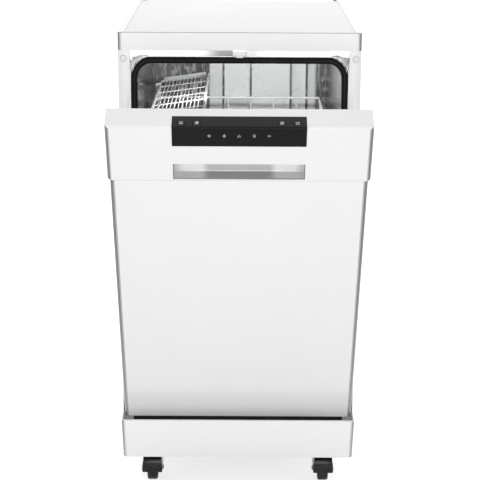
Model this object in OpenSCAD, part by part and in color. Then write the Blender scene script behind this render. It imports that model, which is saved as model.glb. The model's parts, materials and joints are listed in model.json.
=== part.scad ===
// Portable dishwasher on casters, 450 mm wide, with its door ajar.
// Millimetres. X to the right, the front faces -Y, Z up.
// Origin: the centre of the cabinet's footprint, on the floor.

/* [Cabinet] */
// Width across the side panels
cabinet_w = 450; // [440:1:520]
// Depth from the front stiles to the rear flanges
cabinet_d = 570; // [560:1:620]
// Height from the floor to the top of the worktop
total_h = 915; // [900:1:960]
// Thickness of the cabinet's sheet steel
sheet_t = 1.2; // [0.8:0.1:1.5]
// Width of the front stiles
stile_w = 22; // [20:1:26]
// Width of the flanges that hold the rear panel
rear_flange_w = 15; // [10:1:20]
// Depth of the steel frame behind the stiles
front_frame_d = 9; // [7:0.5:12]

/* [Worktop] */
// How far the worktop stands over the cabinet, all round
worktop_over = 1; // [0:0.5:3]
// Height of the worktop's edge band
worktop_h = 33; // [28:1:40]
// Width of the moulded rim round the inlaid top
worktop_rim = 12; // [11:1:18]
// Thickness of the inlaid top
worktop_panel_t = 16; // [12:1:20]
// Radius of the worktop's corners, seen from above
worktop_corner = 9; // [5:1:14]

/* [Base] */
// Height of the casters, floor to base
caster_h = 84; // [82:1:100]
// Height of the base tray
tray_h = 86; // [80:1:90]
// Wall thickness of the base tray
tray_t = 3; // [2:0.5:4]
// Height of the plinth cover
plinth_h = 90; // [80:1:92]
// How far the plinth stands in front of the stiles
plinth_out = 58; // [57:1:70]
// How far the plinth's foot lies behind its upper edge
plinth_lean = 36; // [0:1:40]
// Thickness of the plinth cover
plinth_t = 2.5; // [2:0.5:3]

/* [Casters] */
// Wheel diameter
wheel_d = 50; // [44:1:54]
// Wheel width
wheel_w = 20; // [16:1:22]
// Wheel axle diameter
axle_d = 6; // [5:0.5:8]
// Swivel pin diameter
swivel_d = 12; // [10:0.5:14]
// Distance from the swivel axis back to the wheel axle
caster_trail = 15; // [12:1:18]
// Distance of the swivel axes from the cabinet's sides
caster_side = 53; // [49:1:75]
// Distance of the swivel axes from the front and the rear
caster_inset = 52; // [50:1:70]

/* [Door] */
// Angle that the door stands open
door_ajar = 25.5; // [0:0.5:60]
// Height of the hinge axis above the door's lower edge
pivot_up = 59; // [50:1:62]
// Distance of the hinge axis in front of the stiles
pivot_out = 20; // [16:1:24]
// Thickness of the door
door_t = 53; // [50:1:54]
// Gap between the closed door and the stiles
door_gap = 2; // [2:0.5:3]
// Gap between the closed door and the worktop
door_top_gap = 6; // [4:0.5:8]
// Gap between the door and the plinth
door_foot_gap = 7; // [6:0.5:10]
// Distance of the door's outer panel from the cabinet's sides
door_inset = 4.5; // [4.5:0.5:7]
// Distance of the console's ends from the cabinet's sides
console_inset = 0.5; // [0:0.5:4]
// Height of the console
console_h = 112; // [110:1:130]
// Wall thickness of the console
console_t = 3; // [2.5:0.5:4]
// Radius of the vertical front edges of the outer panel
door_edge_r = 8; // [3:1:9]
// Thickness of the door's steel sheets
door_sheet = 1; // [0.8:0.1:1.2]
// Distance of the inner panel's sides from the outer panel's sides
inner_inset = 10.5; // [9.5:0.5:13.5]
// How much narrower the inner panel is on each side between the hinges
hinge_inset = 10; // [10:1:20]
// How far the inner panel's raised field enters the tub
field_h = 12; // [8:1:14]
// Distance of the raised field from the inner panel's sides
field_inset = 38; // [30:1:50]

/* [Controls] */
// Width of the black control panel
panel_w = 225; // [210:1:240]
// Length of the control panel on the door's top face
panel_back = 31; // [28:1:34]
// Height of the control panel on the door's front
panel_drop = 39; // [34:1:44]
// Thickness of the control panel
panel_t = 2; // [1.8:0.1:2.5]
// Depth of the recess that the control panel lies in
panel_recess = 1.5; // [1.2:0.1:1.6]
// Width of a button
button_w = 15; // [12:0.5:18]
// Depth of a button, front to back
button_d = 9; // [8:0.5:11]
// Distance of the buttons behind the front edge
button_back = 12; // [11:0.5:14]
// Travel of a button
button_travel = 1; // [0.6:0.1:1.2]
// Distance of the outer buttons from the control panel's ends
button_side = 15.5; // [12:0.5:20]
// Spacing of the two buttons of each pair
button_pitch = 26; // [20:1:34]
// Spacing of the indicator lights
lamp_pitch = 25; // [20:1:28]
// Diameter of an indicator light
lamp_d = 6; // [4:0.5:8]
// Distance of the indicator lights below the top
lamp_drop = 17; // [14:1:22]

/* [Handle pocket] */
// Width of the pocket's mouth
pocket_w = 224; // [190:1:240]
// Height of the pocket's mouth
pocket_h = 33; // [26:1:36]
// Height of the pocket's mouth above the console's lower edge
pocket_up = 2.5; // [2.5:0.5:8]
// Depth of the pocket
pocket_d = 22; // [20:1:28]
// Wall thickness of the pocket
pocket_t = 2; // [1.5:0.5:2.5]
// Height of the finger space behind the grip
grip_h = 8; // [6:1:10]

/* [Dispenser] */
// Width of the dispenser
dispenser_w = 150; // [140:1:170]
// Height of the dispenser
dispenser_h = 110; // [100:1:130]
// Depth of the dispenser's body behind the inner panel
dispenser_d = 26; // [20:1:28]
// Height of the dispenser's middle above the hinge axis
dispenser_up = 300; // [280:1:340]
// Diameter of the rinse aid cap
rinse_cap_d = 30; // [26:1:32]

/* [Tub] */
// Space between the tub and the cabinet's sides
tub_side = 35; // [32:1:40]
// Depth inside the tub, from the front stiles
tub_d = 530; // [528:1:536]
// Distance of the tub's ceiling below the worktop
tub_top_gap = 24; // [22:1:34]
// Thickness of the tub's steel
tub_t = 1.2; // [0.8:0.1:1.5]
// Radius of the tub's upper corners
tub_corner = 28; // [20:1:36]
// Height of the tub's floor above its lip
tub_floor_up = 8; // [7:1:12]
// Thickness of the tub's floor
tub_floor_t = 3; // [2:0.5:4]
// Width of the door gasket
gasket_w = 11; // [9:0.5:12]
// How far the gasket stands in front of the stiles
gasket_out = 1.5; // [1:0.1:1.7]
// Depth of the stamped ribs in the tub's back
rib_d = 3; // [2:0.5:4]

/* [Sump and filter] */
// Distance of the sump's middle behind the tub's middle
sump_y = 10; // [0:1:20]
// Radius of the filter plate
filter_plate_r = 84; // [80:1:90]
// Diameter of the filter cup
filter_d = 52; // [46:1:56]
// Place of the filter cup beside the sump's middle, in X
filter_x = 46; // [42:1:48]
// Place of the filter cup behind the sump's middle, in Y
filter_y = 22; // [18:1:24]
// Depth of the sump below the tub's lip
sump_depth = 60; // [56:1:66]

/* [Spray arms] */
// Clearance of the lower spray arm's tips from the tub's walls
lower_arm_gap = 36; // [30:1:50]
// Clearance of the upper spray arm's tips from the tub's walls
upper_arm_gap = 40; // [32:1:60]
// Thickness of the spray arms
arm_t = 12; // [10:1:14]
// Width of the spray arms at the hub
arm_w = 44; // [36:1:50]
// Diameter of the spigots that the arms turn on
spigot_d = 24; // [20:1:28]

/* [Racks] */
// Space between the upper rack and the tub's walls
upper_rack_side = 18; // [17:1:30]
// Length of the upper rack
upper_rack_l = 495; // [460:5:495]
// Distance of the upper rack's floor below the tub's ceiling
upper_rack_down = 218; // [210:1:238]
// Height of the upper rack's basket
upper_rack_h = 85; // [70:5:95]
// Travel of the upper rack for each degree of door
upper_per_deg = 3.84; // [2:0.01:4]
// Space between the lower rack and the tub's walls
lower_rack_side = 20; // [19:1:30]
// Length of the lower rack
lower_rack_l = 470; // [440:5:480]
// Height of the lower rack's floor above the tub's floor
lower_rack_up = 54; // [50:1:60]
// Height of the lower rack's basket
lower_rack_h = 110; // [90:5:120]
// Travel of the lower rack for each degree of door
lower_per_deg = 0.87; // [0.3:0.01:0.9]
// Gap between the closed racks and the front stiles
rack_front_gap = 20; // [18:1:26]
// Thickness of the rack wires
wire_d = 4; // [3:0.5:5]
// Diameter of the lower rack's wheels
rack_wheel_d = 30; // [24:1:34]
// Height of the rails beside the upper rack
rail_h = 16; // [14:1:20]
// Diameter of the rollers that carry the rails
roller_d = 16; // [12:1:18]
// Width of the cup shelf
cup_shelf_w = 106; // [90:1:110]
// Tilt of the cup shelf
cup_shelf_tilt = 8; // [5:1:12]
// Height of the cup shelf's hinge above the rack's rim
cup_shelf_up = 34; // [24:1:36]

/* [Cutlery basket] */
// Width of the cutlery basket
cutlery_w = 72; // [60:1:80]
// Length of the cutlery basket
cutlery_l = 216; // [180:1:230]
// Height of the cutlery basket
cutlery_h = 120; // [100:1:130]

/* [Clearances] */
// Radial clearance of a turning fit
run_gap = 0.05; // [0.03:0.01:0.08]
// Gap round a fitted piece
fit_gap = 0.3; // [0.2:0.05:0.4]

/* [Hidden] */
$fn = 48;
half_w = cabinet_w / 2;
worktop_w = cabinet_w + 2 * worktop_over;
worktop_d = cabinet_d + 2 * worktop_over;
door_w = cabinet_w - 2 * door_inset;
console_w = cabinet_w - 2 * console_inset;
inner_w = door_w - 2 * inner_inset;
inner_foot_w = inner_w - 2 * hinge_inset;
field_w = inner_w - 2 * field_inset;
tub_w = cabinet_w - 2 * tub_side;
caster_x = half_w - caster_side;
button_outer_x = panel_w / 2 - button_side;
button_inner_x = button_outer_x - button_pitch;
front_y = -cabinet_d / 2;
rear_y = cabinet_d / 2;
body_top = total_h - worktop_h;
base_z = caster_h;
tray_top = base_z + tray_h;
plinth_top = base_z + plinth_h;
door_foot = plinth_top + door_foot_gap;
door_top = body_top - door_top_gap;
pivot_y = front_y - pivot_out;
pivot_z = door_foot + pivot_up;
door_back_y = front_y - door_gap;
door_face_y = door_back_y - door_t;
console_foot = door_top - console_h;
// The open door's inner face stays below the tub's lip.
lip_z = pivot_z + pivot_out - door_gap + 4;
tub_floor_z = lip_z + tub_floor_up;
tub_top = body_top - tub_top_gap;
tub_half = tub_w / 2;
tub_back_y = front_y + tub_d;
flange_y = front_y + sheet_t + front_frame_d;
sump_mid = [0, sump_y + (front_y + tub_back_y) / 2, 0];
upper_out = upper_per_deg * door_ajar;
lower_out = lower_per_deg * door_ajar;
upper_floor = tub_top - upper_rack_down;
upper_rim = upper_floor + upper_rack_h;
upper_front = front_y + rack_front_gap;
upper_back = upper_front + upper_rack_l;
upper_half = tub_half - upper_rack_side;
lower_floor = tub_floor_z + lower_rack_up;
lower_rim = lower_floor + lower_rack_h;
lower_front = front_y + rack_front_gap;
lower_back = lower_front + lower_rack_l;
lower_half = tub_half - lower_rack_side;
lower_arm_r = tub_half - lower_arm_gap;
upper_arm_r = tub_half - upper_arm_gap;
rail_z = upper_rim - rail_h - 8;
shelf_x = -upper_half + 3;
shelf_z = upper_rim + cup_shelf_up;
pocket_z = console_foot + pocket_up;
dispenser_z = pivot_z + dispenser_up;
field_y = door_back_y + field_h;
wheel_r = wheel_d / 2;
tub_steel = "#c9ccce";
white = "#f4f4f3";
dark = "#1c1d1f";

// A block between two opposite corners
module block(low, high) translate(low) cube(high - low);

// The same piece on the left and on the right
module both_sides() {
  children();
  mirror([1, 0, 0]) children();
}

// An outline in X and Z, drawn out along Y
module along_y(y0, y1) translate([0, y1, 0]) rotate([90, 0, 0]) linear_extrude(y1 - y0) children();

// An outline in Y and Z, drawn out along X
module along_x(x0, x1) translate([x0, 0, 0]) rotate([90, 0, 90]) linear_extrude(x1 - x0) children();

// A rod along X, centred on its axis
module rod_x(x0, x1, y, z, r) translate([x0, y, z]) rotate([0, 90, 0]) cylinder(r = r, h = x1 - x0);

// A rod along Y, centred on its axis
module rod_y(x, y0, y1, z, r) translate([x, y1, z]) rotate([90, 0, 0]) cylinder(r = r, h = y1 - y0);

// Corner points of a rectangle with round corners
function round_rect(x0, x1, y0, y1, r) = [
  for (c = [[x1 - r, y1 - r, 0], [x0 + r, y1 - r, 90], [x0 + r, y0 + r, 180], [x1 - r, y0 + r, 270]])
    for (k = [0:5]) [c.x + r * cos(c[2] + k * 18), c.y + r * sin(c[2] + k * 18)]
];

// Outline of an opening with a flat foot and two round upper corners
function arch(half, z0, z1, r) = concat(
  [[half, z0]],
  [for (k = [0:6]) [half - r + r * cos(k * 15), z1 - r + r * sin(k * 15)]],
  [for (k = [0:6]) [-half + r - r * sin(k * 15), z1 - r + r * cos(k * 15)]],
  [[-half, z0]]
);

// Places a piece of the closed door at the angle the door stands open
module hung() translate([0, pivot_y, pivot_z]) rotate([door_ajar, 0, 0])
  translate([0, -pivot_y, -pivot_z]) children();

// ---------------------------------------------------------------- worktop

worktop_cap_r = 4;
worktop_cap_x = worktop_w / 2 - 17;
worktop_cap_y = worktop_d / 2 - worktop_rim / 2;
worktop_ledge = 8;

module worktop_outline(inset) polygon(round_rect(
  -worktop_w / 2 + inset, worktop_w / 2 - inset,
  -worktop_d / 2 + inset, worktop_d / 2 - inset,
  max(worktop_corner - inset, 1.5)));

module worktop_frame() color(white) difference() {
  translate([0, 0, body_top]) linear_extrude(worktop_h) worktop_outline(0);
  translate([0, 0, body_top - 1]) linear_extrude(worktop_h) worktop_outline(worktop_rim + worktop_ledge);
  translate([0, 0, total_h - worktop_panel_t]) linear_extrude(worktop_h) worktop_outline(worktop_rim);
  for (side = [-1, 1]) translate([side * worktop_cap_x, worktop_cap_y, total_h - 3])
    cylinder(r = worktop_cap_r + fit_gap, h = 4);
}

module worktop_panel() color(white) translate([0, 0, total_h - worktop_panel_t])
  linear_extrude(worktop_panel_t) worktop_outline(worktop_rim + fit_gap);

// ---------------------------------------------------------------- cabinet

stile_cap_x = half_w - 9.5;
stile_cap_z = body_top - 15;
stile_cap_r = 6.5;

module side_panel() color(white) {
  block([half_w - sheet_t, front_y, base_z], [half_w, rear_y, body_top]);
  block([half_w - stile_w, front_y, lip_z], [half_w, front_y + sheet_t, body_top]);
  block([half_w - rear_flange_w, rear_y - sheet_t, base_z], [half_w, rear_y, body_top]);
}

module side_panel_left() mirror([1, 0, 0]) side_panel();

module side_panel_right() side_panel();

rear_t = 0.8;
rear_inner_y = rear_y - sheet_t - rear_t;

module rear_panel() color("#d8dadb") {
  block([-half_w + sheet_t + fit_gap, rear_inner_y, tray_top + fit_gap],
    [half_w - sheet_t - fit_gap, rear_inner_y + rear_t, body_top - fit_gap]);
  for (k = [1:3]) let (z = tray_top + k * (body_top - tray_top) / 4)
    block([-half_w + 40, rear_inner_y + rear_t, z - 8], [half_w - 40, rear_y - 0.2, z + 8]);
}

// Ring-shaped caps on the stiles and plugs in the worktop's rear corners
module screw_caps() color("#c8c9ca") {
  for (side = [-1, 1]) {
    rod_y(side * stile_cap_x, front_y - 1.5, front_y, stile_cap_z, stile_cap_r);
    translate([side * worktop_cap_x, worktop_cap_y, total_h - 3]) cylinder(r = worktop_cap_r, h = 3);
  }
}

frame_inner = half_w - stile_w;

module front_frame() color(tub_steel) {
  both_sides() block([frame_inner, front_y + sheet_t, lip_z],
    [half_w - sheet_t - fit_gap, flange_y, body_top - fit_gap]);
  block([-frame_inner, front_y + sheet_t, tub_top + gasket_w + 1],
    [frame_inner, flange_y, body_top - fit_gap]);
}

// ---------------------------------------------------------------- tub

module tub_wrapper() color(tub_steel) {
  along_y(flange_y, tub_back_y) difference() {
    polygon(arch(tub_half + tub_t, lip_z, tub_top + tub_t, tub_corner + tub_t));
    polygon(arch(tub_half, lip_z - 1, tub_top, tub_corner));
  }
  along_y(flange_y, flange_y + tub_t) difference() {
    polygon([[-half_w + 3, lip_z], [half_w - 3, lip_z],
      [half_w - 3, body_top - 2], [-half_w + 3, body_top - 2]]);
    polygon(arch(tub_half, lip_z - 1, tub_top, tub_corner));
  }
}

// Places of the stamped ribs, from the left, and of the field between them
rib_x = [-35, 25, 113, 148];
rib_w = 5;

module tub_back() color(tub_steel) {
  along_y(tub_back_y, tub_back_y + tub_t) polygon(arch(tub_half + 6, lip_z, tub_top + 6, tub_corner + 6));
  for (x = rib_x)
    block([x - rib_w / 2, tub_back_y - rib_d, tub_floor_z + 40], [x + rib_w / 2, tub_back_y, tub_top - 30]);
}

sump_hole_r = filter_plate_r + 2;

module tub_floor() color(tub_steel) {
  difference() {
    union() {
      block([-tub_half + fit_gap, flange_y, tub_floor_z - tub_floor_t],
        [tub_half - fit_gap, tub_back_y - fit_gap, tub_floor_z]);
      block([-tub_half + fit_gap, flange_y, lip_z], [tub_half - fit_gap, flange_y + 3, tub_floor_z]);
    }
    translate(sump_mid + [0, 0, lip_z - 5]) cylinder(r = sump_hole_r, h = 40);
  }
}

// The door seal, with its lower run along the tub's lip
module tub_gasket() color(dark) along_y(front_y - gasket_out, flange_y) difference() {
  polygon(arch(tub_half + gasket_w, lip_z, tub_top + gasket_w, tub_corner + gasket_w));
  polygon(arch(tub_half, tub_floor_z, tub_top, tub_corner));
}

strike_w = 27;
tongue_z = tub_top + gasket_w + 1;
tongue_t = 2.5;
tongue_l = 13;

module latch_strike() color(white) {
  block([-strike_w / 2, front_y - gasket_out, tongue_z], [strike_w / 2, front_y + sheet_t, body_top - 2]);
  block([-strike_w / 4, front_y - tongue_l, tongue_z], [strike_w / 4, front_y, tongue_z + tongue_t]);
}

// ---------------------------------------------------------------- base

inlet_x = -120;
outlet_x = -60;
gland_x = 120;
service_z = base_z + 50;
inlet_r = 13.2;
outlet_r = 9.5;
outlet_bore_r = 7.5;
gland_r = 8;
gland_bore_r = 4;
tray_half = half_w - sheet_t - fit_gap;
tray_front = front_y + plinth_t;
tray_rear = rear_y - sheet_t - fit_gap;
tray_floor = base_z + tray_t;

module base_tray() color("#55585b") {
  tray_shell();
  // Studs that hold the rear ends of the door springs
  both_sides() rod_x(spring_x - 4, tray_half - tray_t + 1, spring_end_y, spring_z, spring_stud_r);
}

module tray_shell() difference() {
  block([-tray_half, tray_front, base_z], [tray_half, tray_rear, tray_top]);
  block([-tray_half + tray_t, tray_front + tray_t, tray_floor],
    [tray_half - tray_t, tray_rear - tray_t, tray_top + 1]);
  rod_y(inlet_x, tray_rear - 10, tray_rear + 10, service_z, inlet_r + neck_step + fit_gap);
  rod_y(outlet_x, tray_rear - 10, tray_rear + 10, service_z, outlet_r + neck_step + fit_gap);
  rod_y(gland_x, tray_rear - 10, tray_rear + 10, service_z, gland_r + neck_step + fit_gap);
}

plinth_flange = 20;
plinth_lip = 4;

// Side view of the plinth: its leaning front with this thickness, or its whole side for none
module plinth_side(t) polygon([
  [front_y - plinth_out, plinth_top], [front_y - plinth_out + plinth_lean, base_z],
  [t > 0 ? front_y - plinth_out + plinth_lean + t : front_y, base_z],
  [t > 0 ? front_y - plinth_out + t : front_y, plinth_top]]);

module plinth_cover() color(white) {
  along_x(-half_w, half_w) plinth_side(plinth_t);
  block([-half_w, front_y - plinth_out, plinth_top - plinth_t],
    [half_w, front_y - plinth_out + plinth_t + plinth_lip, plinth_top]);
  both_sides() {
    along_x(half_w - plinth_t, half_w) plinth_side(0);
    block([half_w - plinth_flange, front_y, base_z],
      [half_w - sheet_t - fit_gap, front_y + plinth_t, tray_top]);
    block([half_w - plinth_flange, front_y - plinth_t, base_z], [half_w, front_y, tray_top]);
  }
}

sump_r = filter_plate_r - 2;
sump_wall = 4;
sump_foot = lip_z - sump_depth;
plate_z = lip_z - 8;
plate_t = 3;
arm_play = 2;

// Upright spigot with a shoulder under the spray arm and a cap over it
module arm_spigot(z0, arm_z) {
  translate([0, 0, z0]) cylinder(r = spigot_d / 2, h = arm_z + arm_t + arm_play - z0);
  translate([0, 0, arm_z - 3]) cylinder(r = spigot_d / 2 + 3, h = 2.7);
  translate([0, 0, arm_z + arm_t + 0.3]) cylinder(r = spigot_d / 2 + 3, h = 3);
}

// A bowl under the tub's floor, with the spigot of the lower spray arm
module sump() color("#6d7073") translate(sump_mid) {
  difference() {
    union() {
      translate([0, 0, sump_foot]) cylinder(r = sump_r + sump_wall, h = sump_depth);
      translate([0, 0, lip_z - 14]) cylinder(r = sump_hole_r + 8, h = 14 + tub_floor_z - tub_floor_t - lip_z);
    }
    translate([0, 0, sump_foot + sump_wall]) cylinder(r = sump_r, h = sump_depth + 20);
    translate([0, 0, plate_z]) cylinder(r = sump_hole_r, h = 30);
  }
  arm_spigot(sump_foot + 1, lower_arm_z);
}

pump_r = 36;
pump_l = 90;
pump_cap_l = 16;
pump_foot_w = 60;
pump_foot_l = 70;
pump_foot_h = 18;
pump_mid_z = tray_floor + pump_r + 8;
pump_x = -50;
pump_y = 90;
duct_r = 14;
duct_y = 30;

// Circulation pump on its foot, with a duct up to the sump
module circulation_pump() color("#3d4043") {
  rod_y(pump_x, pump_y, pump_y + pump_l, pump_mid_z, pump_r);
  rod_y(pump_x, pump_y + pump_l, pump_y + pump_l + pump_cap_l, pump_mid_z, pump_r - 10);
  block([pump_x - pump_foot_w / 2, pump_y + (pump_l - pump_foot_l) / 2, tray_floor],
    [pump_x + pump_foot_w / 2, pump_y + (pump_l + pump_foot_l) / 2, tray_floor + pump_foot_h]);
  rod_y(pump_x, duct_y, pump_y + 2, pump_mid_z, duct_r);
  translate([pump_x, duct_y, pump_mid_z]) cylinder(r = duct_r, h = sump_foot - pump_mid_z);
}

drain_x = 60;
drain_r = 24;
drain_l = 60;
drain_foot_w = 36;
drain_foot_l = 40;
drain_foot_h = 20;
drain_duct_r = 9;
drain_z = tray_floor + drain_r + 10;

// Drain pump on its foot, with a duct up to the sump
module drain_pump() color("#2c2f33") {
  rod_y(drain_x, pump_y, pump_y + drain_l, drain_z, drain_r);
  block([drain_x - drain_foot_w / 2, pump_y + (drain_l - drain_foot_l) / 2, tray_floor],
    [drain_x + drain_foot_w / 2, pump_y + (drain_l + drain_foot_l) / 2, tray_floor + drain_foot_h]);
  rod_y(drain_x, duct_y, pump_y + 2, drain_z, drain_duct_r);
  translate([drain_x, duct_y, drain_z]) cylinder(r = drain_duct_r, h = sump_foot - drain_z);
}

// Rear fittings: each has a flange inside the tray's rear wall
fitting_y = tray_rear - tray_t;
fitting_out = 10;

fitting_end = rear_y + fitting_out;
neck_step = 1;

// A tail outside the wall, a slightly wider neck through it and a flange inside it
module rear_fitting(x, r, back) {
  rod_y(x, tray_rear - 0.5, fitting_end, service_z, r);
  rod_y(x, fitting_y - back, tray_rear, service_z, r + neck_step);
  rod_y(x, fitting_y - 4, fitting_y, service_z, r + 6);
}

module inlet_valve() color("#d9d9d6") {
  rear_fitting(inlet_x, inlet_r, 4);
  block([inlet_x - 18, fitting_y - 44, service_z - 18], [inlet_x + 18, fitting_y - 4, service_z + 18]);
}

module drain_outlet() color("#3a3c3f") difference() {
  rear_fitting(outlet_x, outlet_r, 24);
  rod_y(outlet_x, fitting_y - 30, fitting_end + 5, service_z, outlet_bore_r);
}

module cord_gland() color(dark) difference() {
  rear_fitting(gland_x, gland_r, 8);
  rod_y(gland_x, fitting_y - 30, fitting_end + 5, service_z, gland_bore_r);
}

pipe_w = 44;
pipe_d = 14;
pipe_top = upper_floor + 68;
dock_z = upper_floor - 16;

module feed_pipe() color("#e3e4e4") {
  block([-pipe_w / 2 - 5, tub_back_y - pipe_d, tub_floor_z], [pipe_w / 2 - 5, tub_back_y, pipe_top]);
  rod_y(-5, tub_back_y - pipe_d - 10, tub_back_y - pipe_d, dock_z, 11);
}

module filter_plate() color("#b9bcbe") difference() {
  translate(sump_mid + [0, 0, plate_z]) cylinder(r = filter_plate_r, h = plate_t);
  translate(sump_mid + [0, 0, lip_z - 12]) cylinder(r = spigot_d / 2 + fit_gap, h = 10);
  translate(sump_mid + [filter_x, filter_y, lip_z - 12]) cylinder(r = filter_d / 2 + run_gap, h = 10);
}

strainer_l = 38;
strainer_t = 3;
strainer_rim = 4;
strainer_z = plate_z + plate_t + fit_gap;

// The twist-out filter: a cup with a rim that rests on the plate and a bar to turn it by
module filter_cup() color("#8f9396") translate(sump_mid + [filter_x, filter_y, strainer_z]) difference() {
  union() {
    translate([0, 0, -strainer_l]) cylinder(r = filter_d / 2, h = strainer_l + strainer_rim);
    cylinder(r = filter_d / 2 + 3, h = strainer_rim);
    translate([-3, -filter_d / 2, strainer_rim]) cube([6, filter_d, 9]);
  }
  difference() {
    translate([0, 0, -strainer_l + strainer_t]) cylinder(r = filter_d / 2 - strainer_t, h = strainer_l + 30);
    translate([-3, -filter_d, 0]) cube([6, 2 * filter_d, 20]);
  }
}

// ---------------------------------------------------------------- door hinge

arm_x = inner_w / 2;
arm_plate = 3;
arm_plate_h = 110;
bracket_x = arm_x + arm_plate + 0.5;
pin_r = 5;
eye_r = 13;
sweep_r = norm([door_gap + door_t - pivot_out, pivot_up]) + 4;
bracket_back = front_y - pivot_out + sweep_r + 24;
spring_y = bracket_back + 20;
spring_z = tray_floor + 40;
spring_l = 100;
spring_x = bracket_x - 12;

// A steel angle on the tray's floor that holds the pin, and the stud of the door spring
module hinge_bracket() {
  block([bracket_x, pivot_y, pivot_z - eye_r], [bracket_x + arm_plate, bracket_back, pivot_z + eye_r]);
  rod_x(bracket_x, bracket_x + arm_plate, pivot_y, pivot_z, eye_r);
  block([bracket_x, bracket_back - 22, tray_floor], [bracket_x + arm_plate, bracket_back, pivot_z]);
  block([bracket_x - 20, bracket_back - 22, tray_floor],
    [bracket_x + arm_plate, bracket_back, tray_floor + 3]);
  rod_x(arm_x - 6, bracket_x + 1, pivot_y, pivot_z, pin_r);
  rod_x(spring_x - 6, bracket_x + 1, bracket_back - 8, spring_z, spring_stud_r);
}

module hinge_brackets() color("#9a9da0") both_sides() hinge_bracket();

module hinge_arm() difference() {
  union() {
    rod_x(arm_x, arm_x + arm_plate, pivot_y, pivot_z, eye_r);
    block([arm_x, pivot_y - eye_r, pivot_z], [arm_x + arm_plate, pivot_y + eye_r, pivot_z + arm_plate_h]);
  }
  rod_x(arm_x - 1, arm_x + arm_plate + 1, pivot_y, pivot_z, pin_r + run_gap);
}

module hinge_arms() color("#9a9da0") hung() both_sides() hinge_arm();

spring_r = 8;
spring_wire_d = 3;
spring_pitch = 5;
spring_eye_r = 6.5;
spring_stud_r = 3;
spring_turns = floor(spring_l / spring_pitch);
spring_body_l = spring_turns * spring_pitch;
spring_end_y = spring_y + spring_body_l + 12;

module spring_eye(y) difference() {
  rod_x(spring_x - 2, spring_x + 2, y, spring_z, spring_eye_r);
  rod_x(spring_x - 3, spring_x + 3, y, spring_z, spring_stud_r + fit_gap);
}

// A close-wound tension spring, ridged where its coils lie, with an eye over a stud at each end
module door_spring() {
  rod_y(spring_x, spring_y, spring_y + spring_body_l, spring_z, spring_r - spring_wire_d / 2);
  for (k = [0:spring_turns - 1]) let (y = spring_y + k * spring_pitch)
    rod_y(spring_x, y, y + spring_wire_d, spring_z, spring_r);
  rod_y(spring_x, bracket_back - 3, spring_y + 1, spring_z, spring_wire_d / 2);
  rod_y(spring_x, spring_y + spring_body_l - 1, spring_end_y - 5, spring_z, spring_wire_d / 2);
  spring_eye(bracket_back - 8);
  spring_eye(spring_end_y);
}

module door_springs() color("#8c9093") both_sides() door_spring();

// ---------------------------------------------------------------- door

// Side view of the console's outside, with a round front top edge
console_edge_r = 5;
function console_side(inset) = concat(
  [[door_back_y - inset, console_foot - 1], [door_back_y - inset, door_top - inset]],
  [for (k = [0:5]) let (r = max(console_edge_r - inset, 1.5))
    [door_face_y + inset + r - r * sin(k * 18), door_top - inset - r + r * cos(k * 18)]],
  [[door_face_y + inset, console_foot - 1]]
);

// Side view of the control panel's skin, from the top face round to the front
function skin_side(out, drop, back) = concat(
  [[door_face_y + back, door_top + out - drop], [door_face_y + back, door_top + out]],
  [for (k = [0:5]) let (r = 3)
    [door_face_y - out + r - r * sin(k * 18), door_top + out - r + r * cos(k * 18)]],
  [[door_face_y - out, door_top - panel_drop], [door_face_y - out + drop, door_top - panel_drop],
    [door_face_y - out + drop, door_top + out - drop]]
);
skin_out = panel_t - panel_recess;
lamp_z = door_top - lamp_drop;
button_y = door_face_y + button_back;
button_x = [-button_outer_x, -button_inner_x, button_inner_x, button_outer_x];

module button_wells(gap, z0, z1) for (x = button_x) translate([x, button_y, z0])
  linear_extrude(z1 - z0) polygon(round_rect(-button_w / 2 - gap, button_w / 2 + gap,
    -button_d / 2 - gap, button_d / 2 + gap, 1.5));

module lamp_holes(gap, y0, y1) for (k = [-2:2]) rod_y(k * lamp_pitch, y0, y1, lamp_z, lamp_d / 2 + gap);

slot_z = tongue_z - 0.6;
rear_strip_h = 16;

module door_console() color(white) hung() difference() {
  along_x(-console_w / 2, console_w / 2) intersection() {
    polygon(console_side(0));
    translate([door_face_y - 5, console_foot]) square([door_t + 10, console_h + 5]);
  }
  along_x(-console_w / 2 + console_t, console_w / 2 - console_t) difference() {
    translate([door_face_y + console_t, console_foot - 1]) square([door_t, console_h + 1 - console_t]);
    translate([door_back_y - console_t, console_foot - 2]) square([30, console_h + 5]);
  }
  // The rear is open below the top strip, where the inner panel closes it.
  block([-inner_w / 2 - fit_gap, door_back_y - console_t - 1, console_foot - 1],
    [inner_w / 2 + fit_gap, door_back_y + 1, door_top - rear_strip_h]);
  block([-strike_w / 4 - 3, front_y - 30, slot_z],
    [strike_w / 4 + 3, front_y + 5, tongue_z + tongue_t + 0.6]);
  along_x(-panel_w / 2 - fit_gap, panel_w / 2 + fit_gap)
    polygon(skin_side(skin_out + 3, panel_t + 3, panel_back + fit_gap));
  along_x(-panel_w / 2 - fit_gap, panel_w / 2 + fit_gap)
    translate([door_face_y - 1, door_top - panel_drop - fit_gap]) square([1 + panel_recess, panel_drop]);
  button_wells(fit_gap, door_top - 10, door_top + 5);
  lamp_holes(fit_gap, door_face_y - 5, door_face_y + 10);
  block([-pocket_w / 2, door_face_y - 1, pocket_z],
    [pocket_w / 2, door_face_y + console_t + 1, pocket_z + pocket_h]);
}

module control_panel() color(dark) hung() difference() {
  along_x(-panel_w / 2, panel_w / 2) polygon(skin_side(skin_out, panel_t, panel_back));
  button_wells(fit_gap, door_top - 10, door_top + 5);
  lamp_holes(fit_gap, door_face_y - 5, door_face_y + 10);
}

module indicator_lights() color("#dfe6ea") hung()
  lamp_holes(0, door_face_y - skin_out, door_face_y + console_t + 1);

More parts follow.
